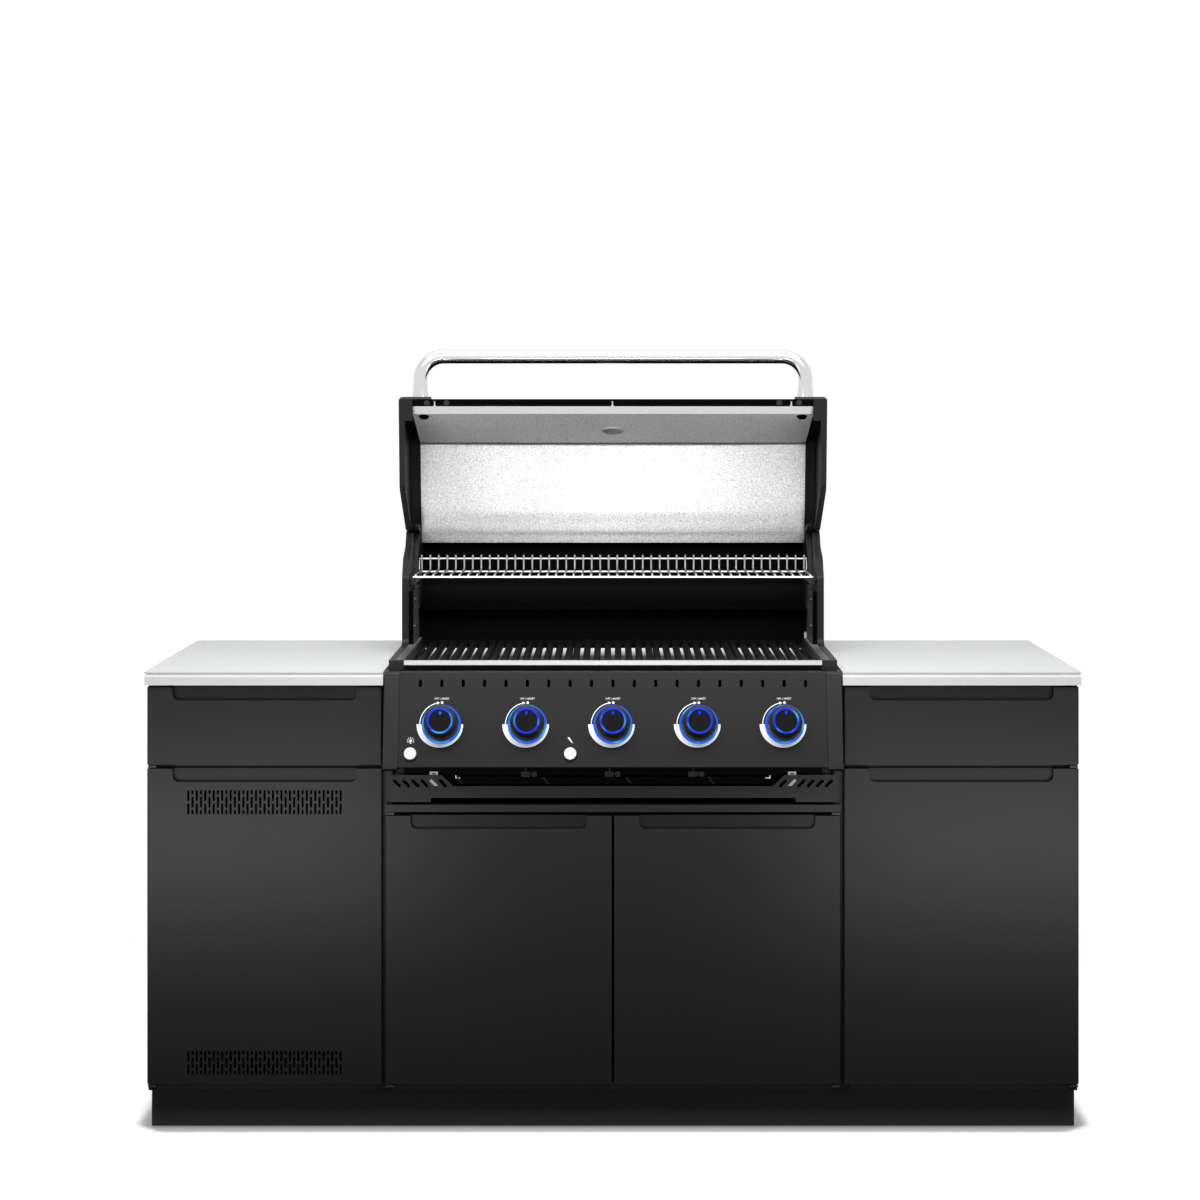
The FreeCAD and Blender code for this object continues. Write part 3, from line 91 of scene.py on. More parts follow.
class GrillFinishes(bpy.types.PropertyGroup):
    """Colours of the island's finishes."""

    cabinet: colour_prop("Cabinet coat", "Powder coat on doors, drawers and panels", (0.0095, 0.0095, 0.0095))
    casting: colour_prop("Castings", "Painted firebox ends and lid ends", (0.013, 0.013, 0.013))
    cap: colour_prop("Panel caps", "Moulded caps at the ends of the control panel", (0.011, 0.011, 0.011))
    # Painted shade: set about half as light as the cabinet coat to offset the extra light that the panel's
    # upward tilt catches; the bezels and knob faces share it.
    panel: colour_prop("Control panel", "Powder coat on the control panel", (0.005, 0.005, 0.005))
    enamel: colour_prop("Enamel", "Black enamel inside the firebox", (0.004, 0.004, 0.004))
    counter: colour_prop("Countertops", "Pale satin tops", (0.76, 0.768, 0.776))
    stainless: colour_prop("Stainless", "Lid liner and front strip", (0.74, 0.74, 0.74))
    chrome: colour_prop("Chrome", "Handle and warming rack", (0.94, 0.94, 0.94))
    iron: colour_prop("Cooking iron", "Cast cooking grids", (0.006, 0.006, 0.006))
    knob: colour_prop("Knob", "Knob bodies", (0.04, 0.038, 0.035))
    glow: colour_prop("Knob light", "Lit rings round the knobs", (0.012, 0.14, 1.0))
    face_glow: colour_prop("Knob face light", "Lit rings in the knob faces", (0.008, 0.045, 1.0))
    print_white: colour_prop("Printed marks", "Ink on the control panel and buttons", (0.88, 0.88, 0.88))


class GrillTrim(bpy.types.PropertyGroup):
    """Sizes of the trim that is added to the frame."""

    glow_strength: FloatProperty(
        name="Light strength", description="Brightness of the lit rings", default=1.0, min=0.0, max=20.0
    )
    print_height: length_prop("Ink height", "How far the printed marks stand proud of the panel", 0.0002)
    ring_steps: IntProperty(
        name="Ring steps", description="Facets round a knob and its marks", default=72, min=16, max=128
    )


class GrillStage(bpy.types.PropertyGroup):
    """The camera, the lamps and the floor."""

    lens: FloatProperty(
        name="Lens", description="Camera focal length in millimetres", default=73.83, min=20.0
    )
    camera_y: FloatProperty(
        name="Camera Y", description="Camera place before the island", default=-5.0869, unit="LENGTH"
    )
    camera_z: length_prop("Camera height", "Camera height above the floor", 1.452)
    shift_x: FloatProperty(name="Shift X", description="Framing shift across", default=-0.0108)
    shift_y: FloatProperty(name="Shift Y", description="Framing shift up", default=-0.17)
    floor_colour: colour_prop("Floor", "Pale studio floor", (0.86, 0.86, 0.86))
    floor_lift: level_prop("Floor lift", "Even light added to the floor", 0.75)
    key_power: level_prop("Key lamp", "Power of the high front lamp in watts", 42.0)
    top_power: level_prop("Top lamp", "Power of the lamp overhead in watts", 4.0)
    card_power: level_prop("Low card", "Power of the low card in watts", 0.125)
    side_power: level_prop("Side cards", "Power of the two side cards in watts", 1.05)
    world_fill: level_prop("World fill", "Soft light from all round", 0.05)
    world_shine: level_prop("World shine", "White seen in bright metal", 0.75)


def metres(values):
    """Lengths in millimetres as Blender's metres."""
    return [value * MM for value in values]


def put_node(tree, kind, **values):
    """A node in a tree, with its own properties or its inputs set by name."""
    node = tree.nodes.new(kind)
    for key, value in values.items():
        if hasattr(node, key):
            setattr(node, key, value)
        else:
            node.inputs[key.replace("_", " ")].default_value = value
    return node


def group_tree(name):
    """A shader group with the inputs and the outputs that every surface pattern has."""
    tree = bpy.data.node_groups.new(name, "ShaderNodeTree")
    tree.interface.new_socket("Vector", in_out="INPUT", socket_type="NodeSocketVector")
    tree.interface.new_socket("Color", in_out="INPUT", socket_type="NodeSocketColor")
    for label in ("Scale", "Tone Spread", "Roughness", "Roughness Spread"):
        tree.interface.new_socket(label, in_out="INPUT", socket_type="NodeSocketFloat")
    tree.interface.new_socket("Color", in_out="OUTPUT", socket_type="NodeSocketColor")
    for label in ("Roughness", "Height"):
        tree.interface.new_socket(label, in_out="OUTPUT", socket_type="NodeSocketFloat")
    return tree, tree.nodes.new("NodeGroupInput"), tree.nodes.new("NodeGroupOutput")


def spread_about(tree, pattern, spread, value=None):
    """A value, or one where none is given, raised and lowered as a 0 to 1 pattern changes."""
    centred = put_node(tree, "ShaderNodeMath", operation="SUBTRACT")
    centred.inputs[1].default_value = 0.5
    scaled = put_node(tree, "ShaderNodeMath", operation="MULTIPLY")
    total = put_node(tree, "ShaderNodeMath", operation="ADD")
    tree.links.new(pattern, centred.inputs[0])
    tree.links.new(centred.outputs[0], scaled.inputs[0])
    tree.links.new(spread, scaled.inputs[1])
    tree.links.new(scaled.outputs[0], total.inputs[0])
    if value is None:
        total.inputs[1].default_value = 1.0
    else:
        tree.links.new(value, total.inputs[1])
    return total.outputs[0]


def put_out(tree, inlet, outlet, tone_pattern, rough_pattern, height):
    """Tint a group's colour by one pattern, vary its roughness by another and put them out with a height."""
    tone = spread_about(tree, tone_pattern, inlet.outputs["Tone Spread"])
    rough = spread_about(tree, rough_pattern, inlet.outputs["Roughness Spread"], inlet.outputs["Roughness"])
    tint = put_node(tree, "ShaderNodeVectorMath", operation="SCALE")
    tree.links.new(inlet.outputs["Color"], tint.inputs[0])
    tree.links.new(tone, tint.inputs["Scale"])
    tree.links.new(tint.outputs["Vector"], outlet.inputs["Color"])
    tree.links.new(rough, outlet.inputs["Roughness"])
    tree.links.new(height, outlet.inputs["Height"])


LINE_STRETCH = (0.02, 1.0, 1.0)


def grain_group(name, stretched):
    """Fine grain over a slow mottle. A stretched one runs in lines across the island."""
    tree, inlet, outlet = group_tree(name)
    vector = inlet.outputs["Vector"]
    if stretched:
        lines = put_node(tree, "ShaderNodeMapping", Scale=LINE_STRETCH)
        tree.links.new(vector, lines.inputs["Vector"])
        vector = lines.outputs["Vector"]
    fine = put_node(tree, "ShaderNodeTexNoise", Detail=3.0, Roughness=0.6)
    tree.links.new(vector, fine.inputs["Vector"])
    tree.links.new(inlet.outputs["Scale"], fine.inputs["Scale"])
    mottle = put_node(tree, "ShaderNodeTexNoise", Scale=7.0, Detail=2.0)
    tree.links.new(inlet.outputs["Vector"], mottle.inputs["Vector"])
    put_out(tree, inlet, outlet, fine.outputs["Fac"], mottle.outputs["Fac"], fine.outputs["Fac"])
    return tree


def pitted_group(name):
    """Cast skin: shallow cells broken by noise."""
    tree, inlet, outlet = group_tree(name)
    cells = put_node(tree, "ShaderNodeTexVoronoi", feature="SMOOTH_F1")
    noise = put_node(tree, "ShaderNodeTexNoise", Detail=4.0)
    for texture in (cells, noise):
        tree.links.new(inlet.outputs["Vector"], texture.inputs["Vector"])
        tree.links.new(inlet.outputs["Scale"], texture.inputs["Scale"])
    blend = put_node(tree, "ShaderNodeMath", operation="MULTIPLY")
    tree.links.new(cells.outputs["Distance"], blend.inputs[0])
    tree.links.new(noise.outputs["Fac"], blend.inputs[1])
    put_out(tree, inlet, outlet, noise.outputs["Fac"], noise.outputs["Fac"], blend.outputs[0])
    return tree


def surface_group(name):
    """The named surface pattern, built the first time that it is asked for."""
    found = bpy.data.node_groups.get(name)
    if found:
        return found
    if name == "Cast Skin":
        return pitted_group(name)
    return grain_group(name, name == "Brushed Lines")


BUMP_DEPTH = 0.5


def finish(name, pattern, colour, scale, tone, roughness, spread, bump=0.0, metallic=0.0, ior=1.3):
    """A material whose colour, roughness and relief come from one of the surface patterns."""
    material = bpy.data.materials.new(name)
    material.use_nodes = True
    tree = material.node_tree
    shader = tree.nodes["Principled BSDF"]
    place = tree.nodes.new("ShaderNodeTexCoord")
    surface = tree.nodes.new("ShaderNodeGroup")
    surface.node_tree = surface_group(pattern)
    surface.inputs["Color"].default_value = (*colour, 1.0)
    surface.inputs["Scale"].default_value = scale
    surface.inputs["Tone Spread"].default_value = tone
    surface.inputs["Roughness"].default_value = roughness
    surface.inputs["Roughness Spread"].default_value = spread
    tree.links.new(place.outputs["Object"], surface.inputs["Vector"])
    tree.links.new(surface.outputs["Color"], shader.inputs["Base Color"])
    tree.links.new(surface.outputs["Roughness"], shader.inputs["Roughness"])
    shader.inputs["Metallic"].default_value = metallic
    shader.inputs["IOR"].default_value = ior
    if bump:
        relief = put_node(tree, "ShaderNodeBump", Strength=bump, Distance=BUMP_DEPTH * MM)
        tree.links.new(surface.outputs["Height"], relief.inputs["Height"])
        tree.links.new(relief.outputs["Normal"], shader.inputs["Normal"])
    return material


def shaded_by(material, source, axis, run, tones, socket="Base Color"):
    """Scale a material's colour or roughness along an axis of its place or of its facing."""
    tree = material.node_tree
    shader = tree.nodes["Principled BSDF"]
    split = tree.nodes.new("ShaderNodeSeparateXYZ")
    tree.links.new(tree.nodes["Texture Coordinate"].outputs[source], split.inputs["Vector"])
    tone = put_node(
        tree, "ShaderNodeMapRange", From_Min=run[0], From_Max=run[1], To_Min=tones[0], To_Max=tones[1]
    )
    tint = put_node(tree, "ShaderNodeVectorMath", operation="SCALE")
    tree.links.new(split.outputs[axis], tone.inputs["Value"])
    tree.links.new(shader.inputs[socket].links[0].from_socket, tint.inputs[0])
    tree.links.new(tone.outputs["Result"], tint.inputs["Scale"])
    tree.links.new(tint.outputs["Vector"], shader.inputs[socket])
    return material


GUIDE_COLOUR = (0.0, 0.004, 0.05)
PALE_GLOW = (0.05, 0.5, 1.0)
PALE_RUN = (0.52, 0.72)


def glow_finish(name, colour, strength):
    """A lit light guide, a little paler in patches."""
    material = finish(
        name, "Coat Grain", GUIDE_COLOUR, scale=60.0, tone=0.2, roughness=0.3, spread=0.1, ior=1.1
    )
    tree = material.node_tree
    shader = tree.nodes["Principled BSDF"]
    place = tree.nodes["Texture Coordinate"]
    patches = put_node(tree, "ShaderNodeTexNoise", Scale=32.0, Detail=1.0)
    ramp = tree.nodes.new("ShaderNodeValToRGB")
    for stop, shade, position in zip(ramp.color_ramp.elements, (colour, PALE_GLOW), PALE_RUN):
        stop.color = (*shade, 1.0)
        stop.position = position
    tree.links.new(place.outputs["Object"], patches.inputs["Vector"])
    tree.links.new(patches.outputs["Fac"], ramp.inputs["Fac"])
    tree.links.new(ramp.outputs["Color"], shader.inputs["Emission Color"])
    shader.inputs["Emission Strength"].default_value = strength
    return material


def black_trim():
    """The dead black of screws, small shields and the sheet of painted shade along the control panel's top,
    made the first time that it is asked for.
    """
    made = bpy.data.materials.get("Black Trim")
    if made:
        return made
    return finish(
        "Black Trim", "Coat Grain", (0.002, 0.002, 0.002), scale=500.0, tone=0.3, roughness=0.5, spread=0.1,
        bump=0.1, ior=1.05,
    )


def dress(nodes, material):
    """One material on several CAD nodes."""
    for name in nodes:
        mesh = frame["nodes"][name].data
        mesh.materials.clear()
        mesh.materials.append(material)


def numbered(stem):
    """The five names of a piece that each knob has."""
    return [f"{stem}_{i + 1}" for i in range(KNOB_COUNT)]


# Painted shade in the finger pulls: the depths behind the front face in millimetres over which the front
# coat's colour falls, and the share that it falls to.
PULL_SHADE_RUN = (4.0, 10.0)
PULL_PAINTED_SHADE = 0.05


class GRILL_OT_cabinets(bpy.types.Operator):
    """Finish the cabinets, doors, drawers, countertops and feet"""

    bl_idname = "grill.cabinets"
    bl_label = "Cabinets"

    def execute(self, context):
        colours = context.scene.grill_finishes
        coat, front = (
            finish(name, "Coat Grain", colours.cabinet, scale=1400.0, tone=0.25, roughness=0.36, spread=0.04,
                   bump=0.12, ior=1.36)
            for name in ("Cabinet Coat", "Front Coat Painted Pull Shade")
        )
        dress(("side_panels", "back_panels", "cabinet_rails", "slotted_rail"), coat)
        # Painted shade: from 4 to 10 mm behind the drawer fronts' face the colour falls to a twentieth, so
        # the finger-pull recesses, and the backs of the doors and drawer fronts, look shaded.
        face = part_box("left_drawer_front")[0].y
        recess = [face + depth for depth in metres(PULL_SHADE_RUN)]
        shaded_by(front, "Object", "Y", run=recess, tones=(1.0, PULL_PAINTED_SHADE))
        dress(("left_door", "right_door", "grill_door_left", "grill_door_right", "left_drawer_front",
               "right_drawer_front"), front)
        # Painted light: this coat is about three times lighter than the cabinet coat, lifting the toe boards
        # out of the shade under the doors; the floor panels and door pivots share it.
        dress(("toe_kicks", "floor_panels", "door_pivots"),
              finish("Toe Board Coat", "Coat Grain", (0.03, 0.03, 0.03), scale=1400.0, tone=0.25,
                     roughness=0.4, spread=0.04, bump=0.12, ior=1.45))
        dress(("left_drawer_box", "right_drawer_box"),
              finish("Drawer Steel", "Brushed Lines", (0.12, 0.12, 0.125), scale=500.0, tone=0.2,
                     roughness=0.4, spread=0.1, bump=0.1, metallic=0.9))
        dress(("slide_channels",),
              finish("Zinc Plate", "Coat Grain", (0.5, 0.51, 0.52), scale=220.0, tone=0.2,
                     roughness=0.34, spread=0.12, bump=0.1, metallic=1.0))
        dress(("levelling_feet",),
              finish("Foot Moulding", "Coat Grain", (0.02, 0.02, 0.02), scale=500.0, tone=0.2,
                     roughness=0.6, spread=0.1, bump=0.3))
        dress(("left_countertop", "right_countertop"),
              finish("Counter Top", "Coat Grain", colours.counter, scale=900.0, tone=0.04,
                     roughness=0.42, spread=0.06, bump=0.08, ior=1.4))
        return {"FINISHED"}


# Painted shade on the warming rack: the Y limits in millimetres over which its colour falls.
RACK_SHADE_RUN = (-52.0, -48.0)


class GRILL_OT_firebox(bpy.types.Operator):
    """Finish the firebox, the burners, the cooking grids and the warming rack"""

    bl_idname = "grill.firebox"
    bl_label = "Firebox"

    def execute(self, context):
        colours = context.scene.grill_finishes
        for side, inward in (("left", 1.0), ("right", -1.0)):
            paint = finish(f"Casting With Painted Light {side}", "Cast Skin", colours.casting, scale=420.0, tone=0.3,
                           roughness=0.48, spread=0.12, bump=0.35)
            # Painted light: faces turned towards the middle of the firebox get a colour up to twelve times
            # lighter, standing in for the light that the inner cheeks of the towers catch.
            shaded_by(paint, "Normal", "X", run=(0.3 * inward, 0.7 * inward), tones=(1.0, 12.0))
            dress((f"firebox_{side}_end",), paint)
        dress(("firebox_front", "firebox_back_wall", "firebox_floor", "drip_tray"),
              finish("Black Enamel", "Coat Grain", colours.enamel, scale=300.0, tone=0.3,
                     roughness=0.4, spread=0.1, bump=0.15, ior=1.1))
        dress(("front_trim_strip", "heat_tents", "burners"),
              finish("Brushed Stainless", "Brushed Lines", colours.stainless, scale=900.0, tone=0.12,
                     roughness=0.32, spread=0.08, bump=0.06, metallic=1.0))
        dress(("cooking_grids",),
              finish("Cooking Iron", "Cast Skin", colours.iron, scale=500.0, tone=0.5,
                     roughness=0.5, spread=0.2, bump=0.4, ior=1.15))
        rack = finish("Rack Chrome", "Coat Grain", colours.chrome, scale=200.0, tone=0.08,
                      roughness=0.3, spread=0.06, metallic=1.0)
        # Painted shade: behind Y -52 to -48 mm the chrome's colour falls to 0.6, so all but the rack's front
        # edge is darker.
        dress(("warming_rack",), shaded_by(rack, "Object", "Y", run=metres(RACK_SHADE_RUN), tones=(1.0, 0.6)))
        dress(("fasteners", "lid_hinge_pins", "gas_manifold"),
              finish("Dark Steel", "Coat Grain", (0.16, 0.16, 0.165), scale=300.0, tone=0.2,
                     roughness=0.36, spread=0.12, bump=0.1, metallic=0.8))
        dress(["gas_valves"] + numbered("valve_stem"),
              finish("Machined Brass", "Brushed Lines", (0.62, 0.46, 0.2), scale=600.0, tone=0.2,
                     roughness=0.34, spread=0.1, bump=0.1, metallic=1.0))
        return {"FINISHED"}


class GRILL_OT_control_panel(bpy.types.Operator):
    """Finish the control panel, its end caps, bezels, light rings, buttons and leads"""

    bl_idname = "grill.control_panel"
    bl_label = "Control Panel"

    def execute(self, context):
        colours = context.scene.grill_finishes
        trim = context.scene.grill_trim
        dress(("control_panel", "knob_bezels"),
              finish("Panel Coat", "Coat Grain", colours.panel, scale=1100.0, tone=0.35,
                     roughness=0.38, spread=0.04, bump=0.2))
        dress(("panel_end_caps",),
              finish("Cap Moulding", "Coat Grain", colours.cap, scale=900.0, tone=0.25,
                     roughness=0.38, spread=0.06, bump=0.15))
        dress(("light_rings",), glow_finish("Light Guide", colours.glow, trim.glow_strength))
        dress(("light_button", "ignition_button"),
              finish("White Moulding", "Coat Grain", colours.print_white, scale=300.0, tone=0.04,
                     roughness=0.35, spread=0.08, bump=0.05, ior=1.45))
        dress(("igniter_leads",),
              finish("Lead Moulding", "Coat Grain", (0.11, 0.11, 0.112), scale=400.0, tone=0.3,
                     roughness=0.5, spread=0.1, bump=0.2))
        return {"FINISHED"}


LINER_DOWN = (-0.9, -0.6)


class GRILL_OT_lid(bpy.types.Operator):
    """Finish the lid, its liner, handle and fittings"""

    bl_idname = "grill.lid"
    bl_label = "Lid"

    def execute(self, context):
        colours = context.scene.grill_finishes
        dress(("lid_outer_panel",),
              finish("Lid Enamel", "Coat Grain", colours.enamel, scale=900.0, tone=0.2,
                     roughness=0.45, spread=0.06, bump=0.1, ior=1.06))
        dress(("lid_end_cap_left", "lid_end_cap_right"),
              finish("Lid Casting", "Cast Skin", colours.casting, scale=420.0, tone=0.3,
                     roughness=0.46, spread=0.12, bump=0.35))
        liner = finish("Speckled Liner", "Coat Grain", colours.stainless, scale=380.0, tone=2.0,
                       roughness=0.29, spread=0.06, metallic=1.0)
        shaded_by(liner, "Normal", "Z", run=LINER_DOWN, tones=(2.6, 1.0), socket="Roughness")
        # Painted light: the liner's colour is 1.3 times its own where it faces steeply down and 0.62 times
        # where it faces less down, standing in for how the light falls on its facets.
        dress(("lid_inner_liner",), shaded_by(liner, "Normal", "Z", run=LINER_DOWN, tones=(1.3, 0.62)))
        dress(("lid_handle", "handle_standoffs"),
              finish("Handle Chrome", "Coat Grain", colours.chrome, scale=150.0, tone=0.04,
                     roughness=0.06, spread=0.03, metallic=1.0))
        dress(("lid_thermometer",),
              finish("Gauge Steel", "Brushed Lines", colours.stainless, scale=700.0, tone=0.15,
                     roughness=0.3, spread=0.08, bump=0.1, metallic=1.0))
        dress(("lid_screws",), black_trim())
        return {"FINISHED"}


def piece(name, shape, body, material, smooth_angle=None):
    """An object from a bmesh, riding on a body. Edges flatter than the angle are shaded smooth."""
    bmesh.ops.remove_doubles(shape, verts=shape.verts, dist=MERGE_GAP * MM)
    bmesh.ops.recalc_face_normals(shape, faces=shape.faces)
    if smooth_angle is not None:
        limit = math.radians(smooth_angle)
        for face in shape.faces:
            face.smooth = True
        for edge in shape.edges:
            edge.smooth = len(edge.link_faces) == 2 and edge.calc_face_angle() < limit
    mesh = bpy.data.meshes.new(name)
    shape.to_mesh(mesh)
    shape.free()
    mesh.materials.append(material)
    made = bpy.data.objects.new(name, mesh)
    bpy.context.scene.collection.objects.link(made)
    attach(made, body)
    return made


def laid_on(up, out):
    """The turn that lays X across the island, Y up a face and Z out of it."""
    return Matrix((ACROSS, up, out)).transposed().to_4x4()


def panel_frame(x, height):
    """The place on the control panel's face at an X and a height."""
    knob = JOINTS["knob_1_turn"]
    out = Vector(knob["axis"])
    point = Vector(knob["pos_m"])
    y = point.y - out.z / out.y * (height - point.z)
    return Matrix.Translation((x, y, height)) @ laid_on(out.cross(ACROSS), out)


def turned(profile, steps):
    """A body turned about Z from a closed or axis-to-axis run of (radius, height) in millimetres."""
    shape = bmesh.new()
    points = [shape.verts.new((radius * MM, 0.0, height * MM)) for radius, height in profile]
    edges = [shape.edges.new(pair) for pair in zip(points, points[1:])]
    if profile[0][0] > 0.0:
        edges.append(shape.edges.new((points[-1], points[0])))
    bmesh.ops.spin(
        shape, geom=points + edges, cent=(0.0, 0.0, 0.0), axis=(0.0, 0.0, 1.0), angle=math.tau,
        steps=steps, use_merge=True,
    )
    bmesh.ops.remove_doubles(shape, verts=shape.verts, dist=MERGE_GAP * MM)
    bmesh.ops.recalc_face_normals(shape, faces=shape.faces)
    return shape


def soften(shape, offset, segments=2, sharper_than=30.0):
    """Round every edge that is sharper than an angle."""
    limit = math.radians(sharper_than)
    sharp = [edge for edge in shape.edges if len(edge.link_faces) == 2 and edge.calc_face_angle() > limit]
    bmesh.ops.bevel(
        shape, geom=sharp, offset=offset * MM, offset_type="OFFSET", segments=segments, profile=0.5,
        affect="EDGES", material=-1, clamp_overlap=True,
    )
    return shape


KNOB_PROFILE = (
    (0.0, 49.2), (21.6, 49.2), (21.6, 48.4), (25.0, 48.4), (25.0, 49.4), (25.8, 48.7), (30.6, 41.5),
    (31.6, 39.0), (33.4, 14.0), (34.6, 9.5), (34.6, 6.9), (27.2, 6.9), (27.2, 20.0), (0.0, 20.0),
)
KNOB_ROUND = 0.35
KNOB_RING = ((21.7, 48.5), (24.9, 48.5), (24.9, 49.5), (24.2, 49.95), (22.4, 49.95), (21.7, 49.5))
KNOB_FACE = 49.35
KNOB_INSET = ((0.0, 49.0), (21.5, 49.0), (21.5, KNOB_FACE), (0.0, KNOB_FACE))
KNOB_MARK_UP = 15.0
KNOB_MARK_WIDE = 2.7
KNOB_MARK_TALL = 3.7
KNOB_MARK_TOP = 3.33
KNOB_MARK_DEEP = 0.6
KNOB_MARK_SIDES = 24


class GRILL_OT_knobs(bpy.types.Operator):
    """Make the knobs, each with a dark face, a lit ring and a lit mark"""

    bl_idname = "grill.knobs"
    bl_label = "Knobs"

    def execute(self, context):
        colours = context.scene.grill_finishes
        trim = context.scene.grill_trim
        grey = finish("Knob Moulding", "Coat Grain", colours.knob, scale=700.0, tone=0.2,
                      roughness=0.4, spread=0.08, bump=0.1)
        dark = finish("Knob Face", "Coat Grain", colours.panel, scale=700.0, tone=0.2,
                      roughness=0.38, spread=0.08, bump=0.1, ior=1.16)
        lit = glow_finish("Face Light Guide", colours.face_glow, trim.glow_strength)
        for i, carrier in enumerate(numbered("knob"), 1):
            pos = JOINTS[carrier + "_turn"]["pos_m"]
            place = panel_frame(pos[0], pos[2])
            body = soften(turned(KNOB_PROFILE, trim.ring_steps), KNOB_ROUND)
            for name, shape, material, slot in (
                ("body", body, grey, "knob_grey"),
                ("face", turned(KNOB_INSET, trim.ring_steps), dark, "knob_grey"),
                ("ring", turned(KNOB_RING, trim.ring_steps), lit, "light_blue"),
                ("mark", self.mark(), lit, "light_blue"),
            ):
                bmesh.ops.transform(shape, matrix=place, verts=shape.verts)
                piece(f"knob_{name}_{i}", shape, carrier, material, SMOOTH_ANGLE)
            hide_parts(carrier)
        return {"FINISHED"}

    def mark(self):
        """An oval stud near the top of the knob's face."""
        shape = bmesh.new()
        bmesh.ops.create_cone(
            shape, cap_ends=True, segments=KNOB_MARK_SIDES, radius1=KNOB_MARK_TALL * MM,
            radius2=KNOB_MARK_TOP * MM, depth=KNOB_MARK_DEEP * MM,
        )
        bmesh.ops.scale(shape, vec=(KNOB_MARK_WIDE / KNOB_MARK_TALL, 1.0, 1.0), verts=shape.verts)
        bmesh.ops.translate(shape, vec=(0.0, KNOB_MARK_UP * MM, KNOB_FACE * MM), verts=shape.verts)
        return shape


def band(shape, inner, outer, start, turn, steps, shift=0.0):
    """A flat arc between two radii in millimetres. A shift moves its outer edge sideways, so it thins out."""
    lead = [shape.verts.new((inner * MM, 0.0, 0.0)), shape.verts.new((outer * MM, 0.0, 0.0))]
    edge = shape.edges.new(lead)
    bmesh.ops.rotate(
        shape, verts=lead, cent=(0.0, 0.0, 0.0), matrix=Matrix.Rotation(math.radians(start), 3, "Z")
    )
    before = set(shape.verts)
    bmesh.ops.spin(
        shape, geom=lead + [edge], cent=(0.0, 0.0, 0.0), axis=(0.0, 0.0, 1.0), angle=math.radians(turn),
        steps=steps,
    )
    made = lead + [vert for vert in shape.verts if vert not in before]
    middle = (inner + outer) / 2 * MM
    rim = [vert for vert in made if vert.co.length > middle]
    bmesh.ops.translate(shape, vec=(shift * MM, 0.0, 0.0), verts=rim)


def disc(shape, radius, x, y, segments=24):
    """A flat disc in millimetres."""
    made = bmesh.ops.create_circle(shape, cap_ends=True, segments=segments, radius=radius * MM)
    bmesh.ops.translate(shape, vec=(x * MM, y * MM, 0.0), verts=made["verts"])


def flat_shape(shape, corners):
    """A flat patch from (x, y) corners in millimetres."""
    shape.faces.new([shape.verts.new((x * MM, y * MM, 0.0)) for x, y in corners])


def lettering(shape, words, height, x, y):
    """Flat letters centred on a place, in millimetres."""
    text = bpy.data.curves.new("letters", "FONT")
    text.body = words
    text.size = height * MM
    text.align_x = "CENTER"
    text.align_y = "CENTER"
    text.resolution_u = 2
    holder = bpy.data.objects.new("letters", text)
    mesh = bpy.data.meshes.new_from_object(holder)
    before = set(shape.verts)
    shape.from_mesh(mesh)
    made = [vert for vert in shape.verts if vert not in before]
    bmesh.ops.translate(shape, vec=(x * MM, y * MM, 0.0), verts=made)
    bpy.data.objects.remove(holder)
    bpy.data.curves.remove(text)
    bpy.data.meshes.remove(mesh)


def inked(name, shape, place, height, material, body="island"):
    """Flat marks given the thickness of ink and laid on the panel or on a dial."""
    faces = bmesh.ops.extrude_face_region(shape, geom=shape.faces[:])
    top = [item for item in faces["geom"] if isinstance(item, bmesh.types.BMVert)]
    bmesh.ops.translate(shape, vec=(0.0, 0.0, height), verts=top)
    bmesh.ops.transform(shape, matrix=place, verts=shape.verts)
    return piece(name, shape, body, material)


INK_PAINTED_GLOW = 0.3
CRESCENT_RADII = (38.3, 45.4)
CRESCENT_ARC = (180.0, 180.0)
CRESCENT_SHIFT = -3.0
ARROW_RADIUS = 42.3
ARROW_WIDTH = 1.6
ARROW_ARC = (98.0, 81.0)
ARROW_HEAD = ((-9.5, 38.9), (-3.4, 42.0), (-9.5, 44.7))
DOT_RADIUS = 2.5
DOT_X = 0.6
OFF_WORDS = "OFF | ARRÊT"
WORDS_UP = 50.0
WORDS_HEIGHT = 5.2
SIGN_UP = Vector((0.0, 24.5))
BULB_RADIUS = 2.6
BULB_SIDES = 16
BULB_CAP = ((-1.4, -5.4), (1.4, -5.4), (1.4, -2.9), (-1.4, -2.9))
RAY = ((4.2, -0.5), (7.4, -0.5), (7.4, 0.5), (4.2, 0.5))
RAY_COUNT = 7
RAY_START = -24.0
RAY_STEP = 38.0
SPARK = ((-5.0, 6.0), (-2.2, 6.6), (1.6, 1.4), (5.4, -5.8), (0.2, -1.4), (-1.4, 0.6))


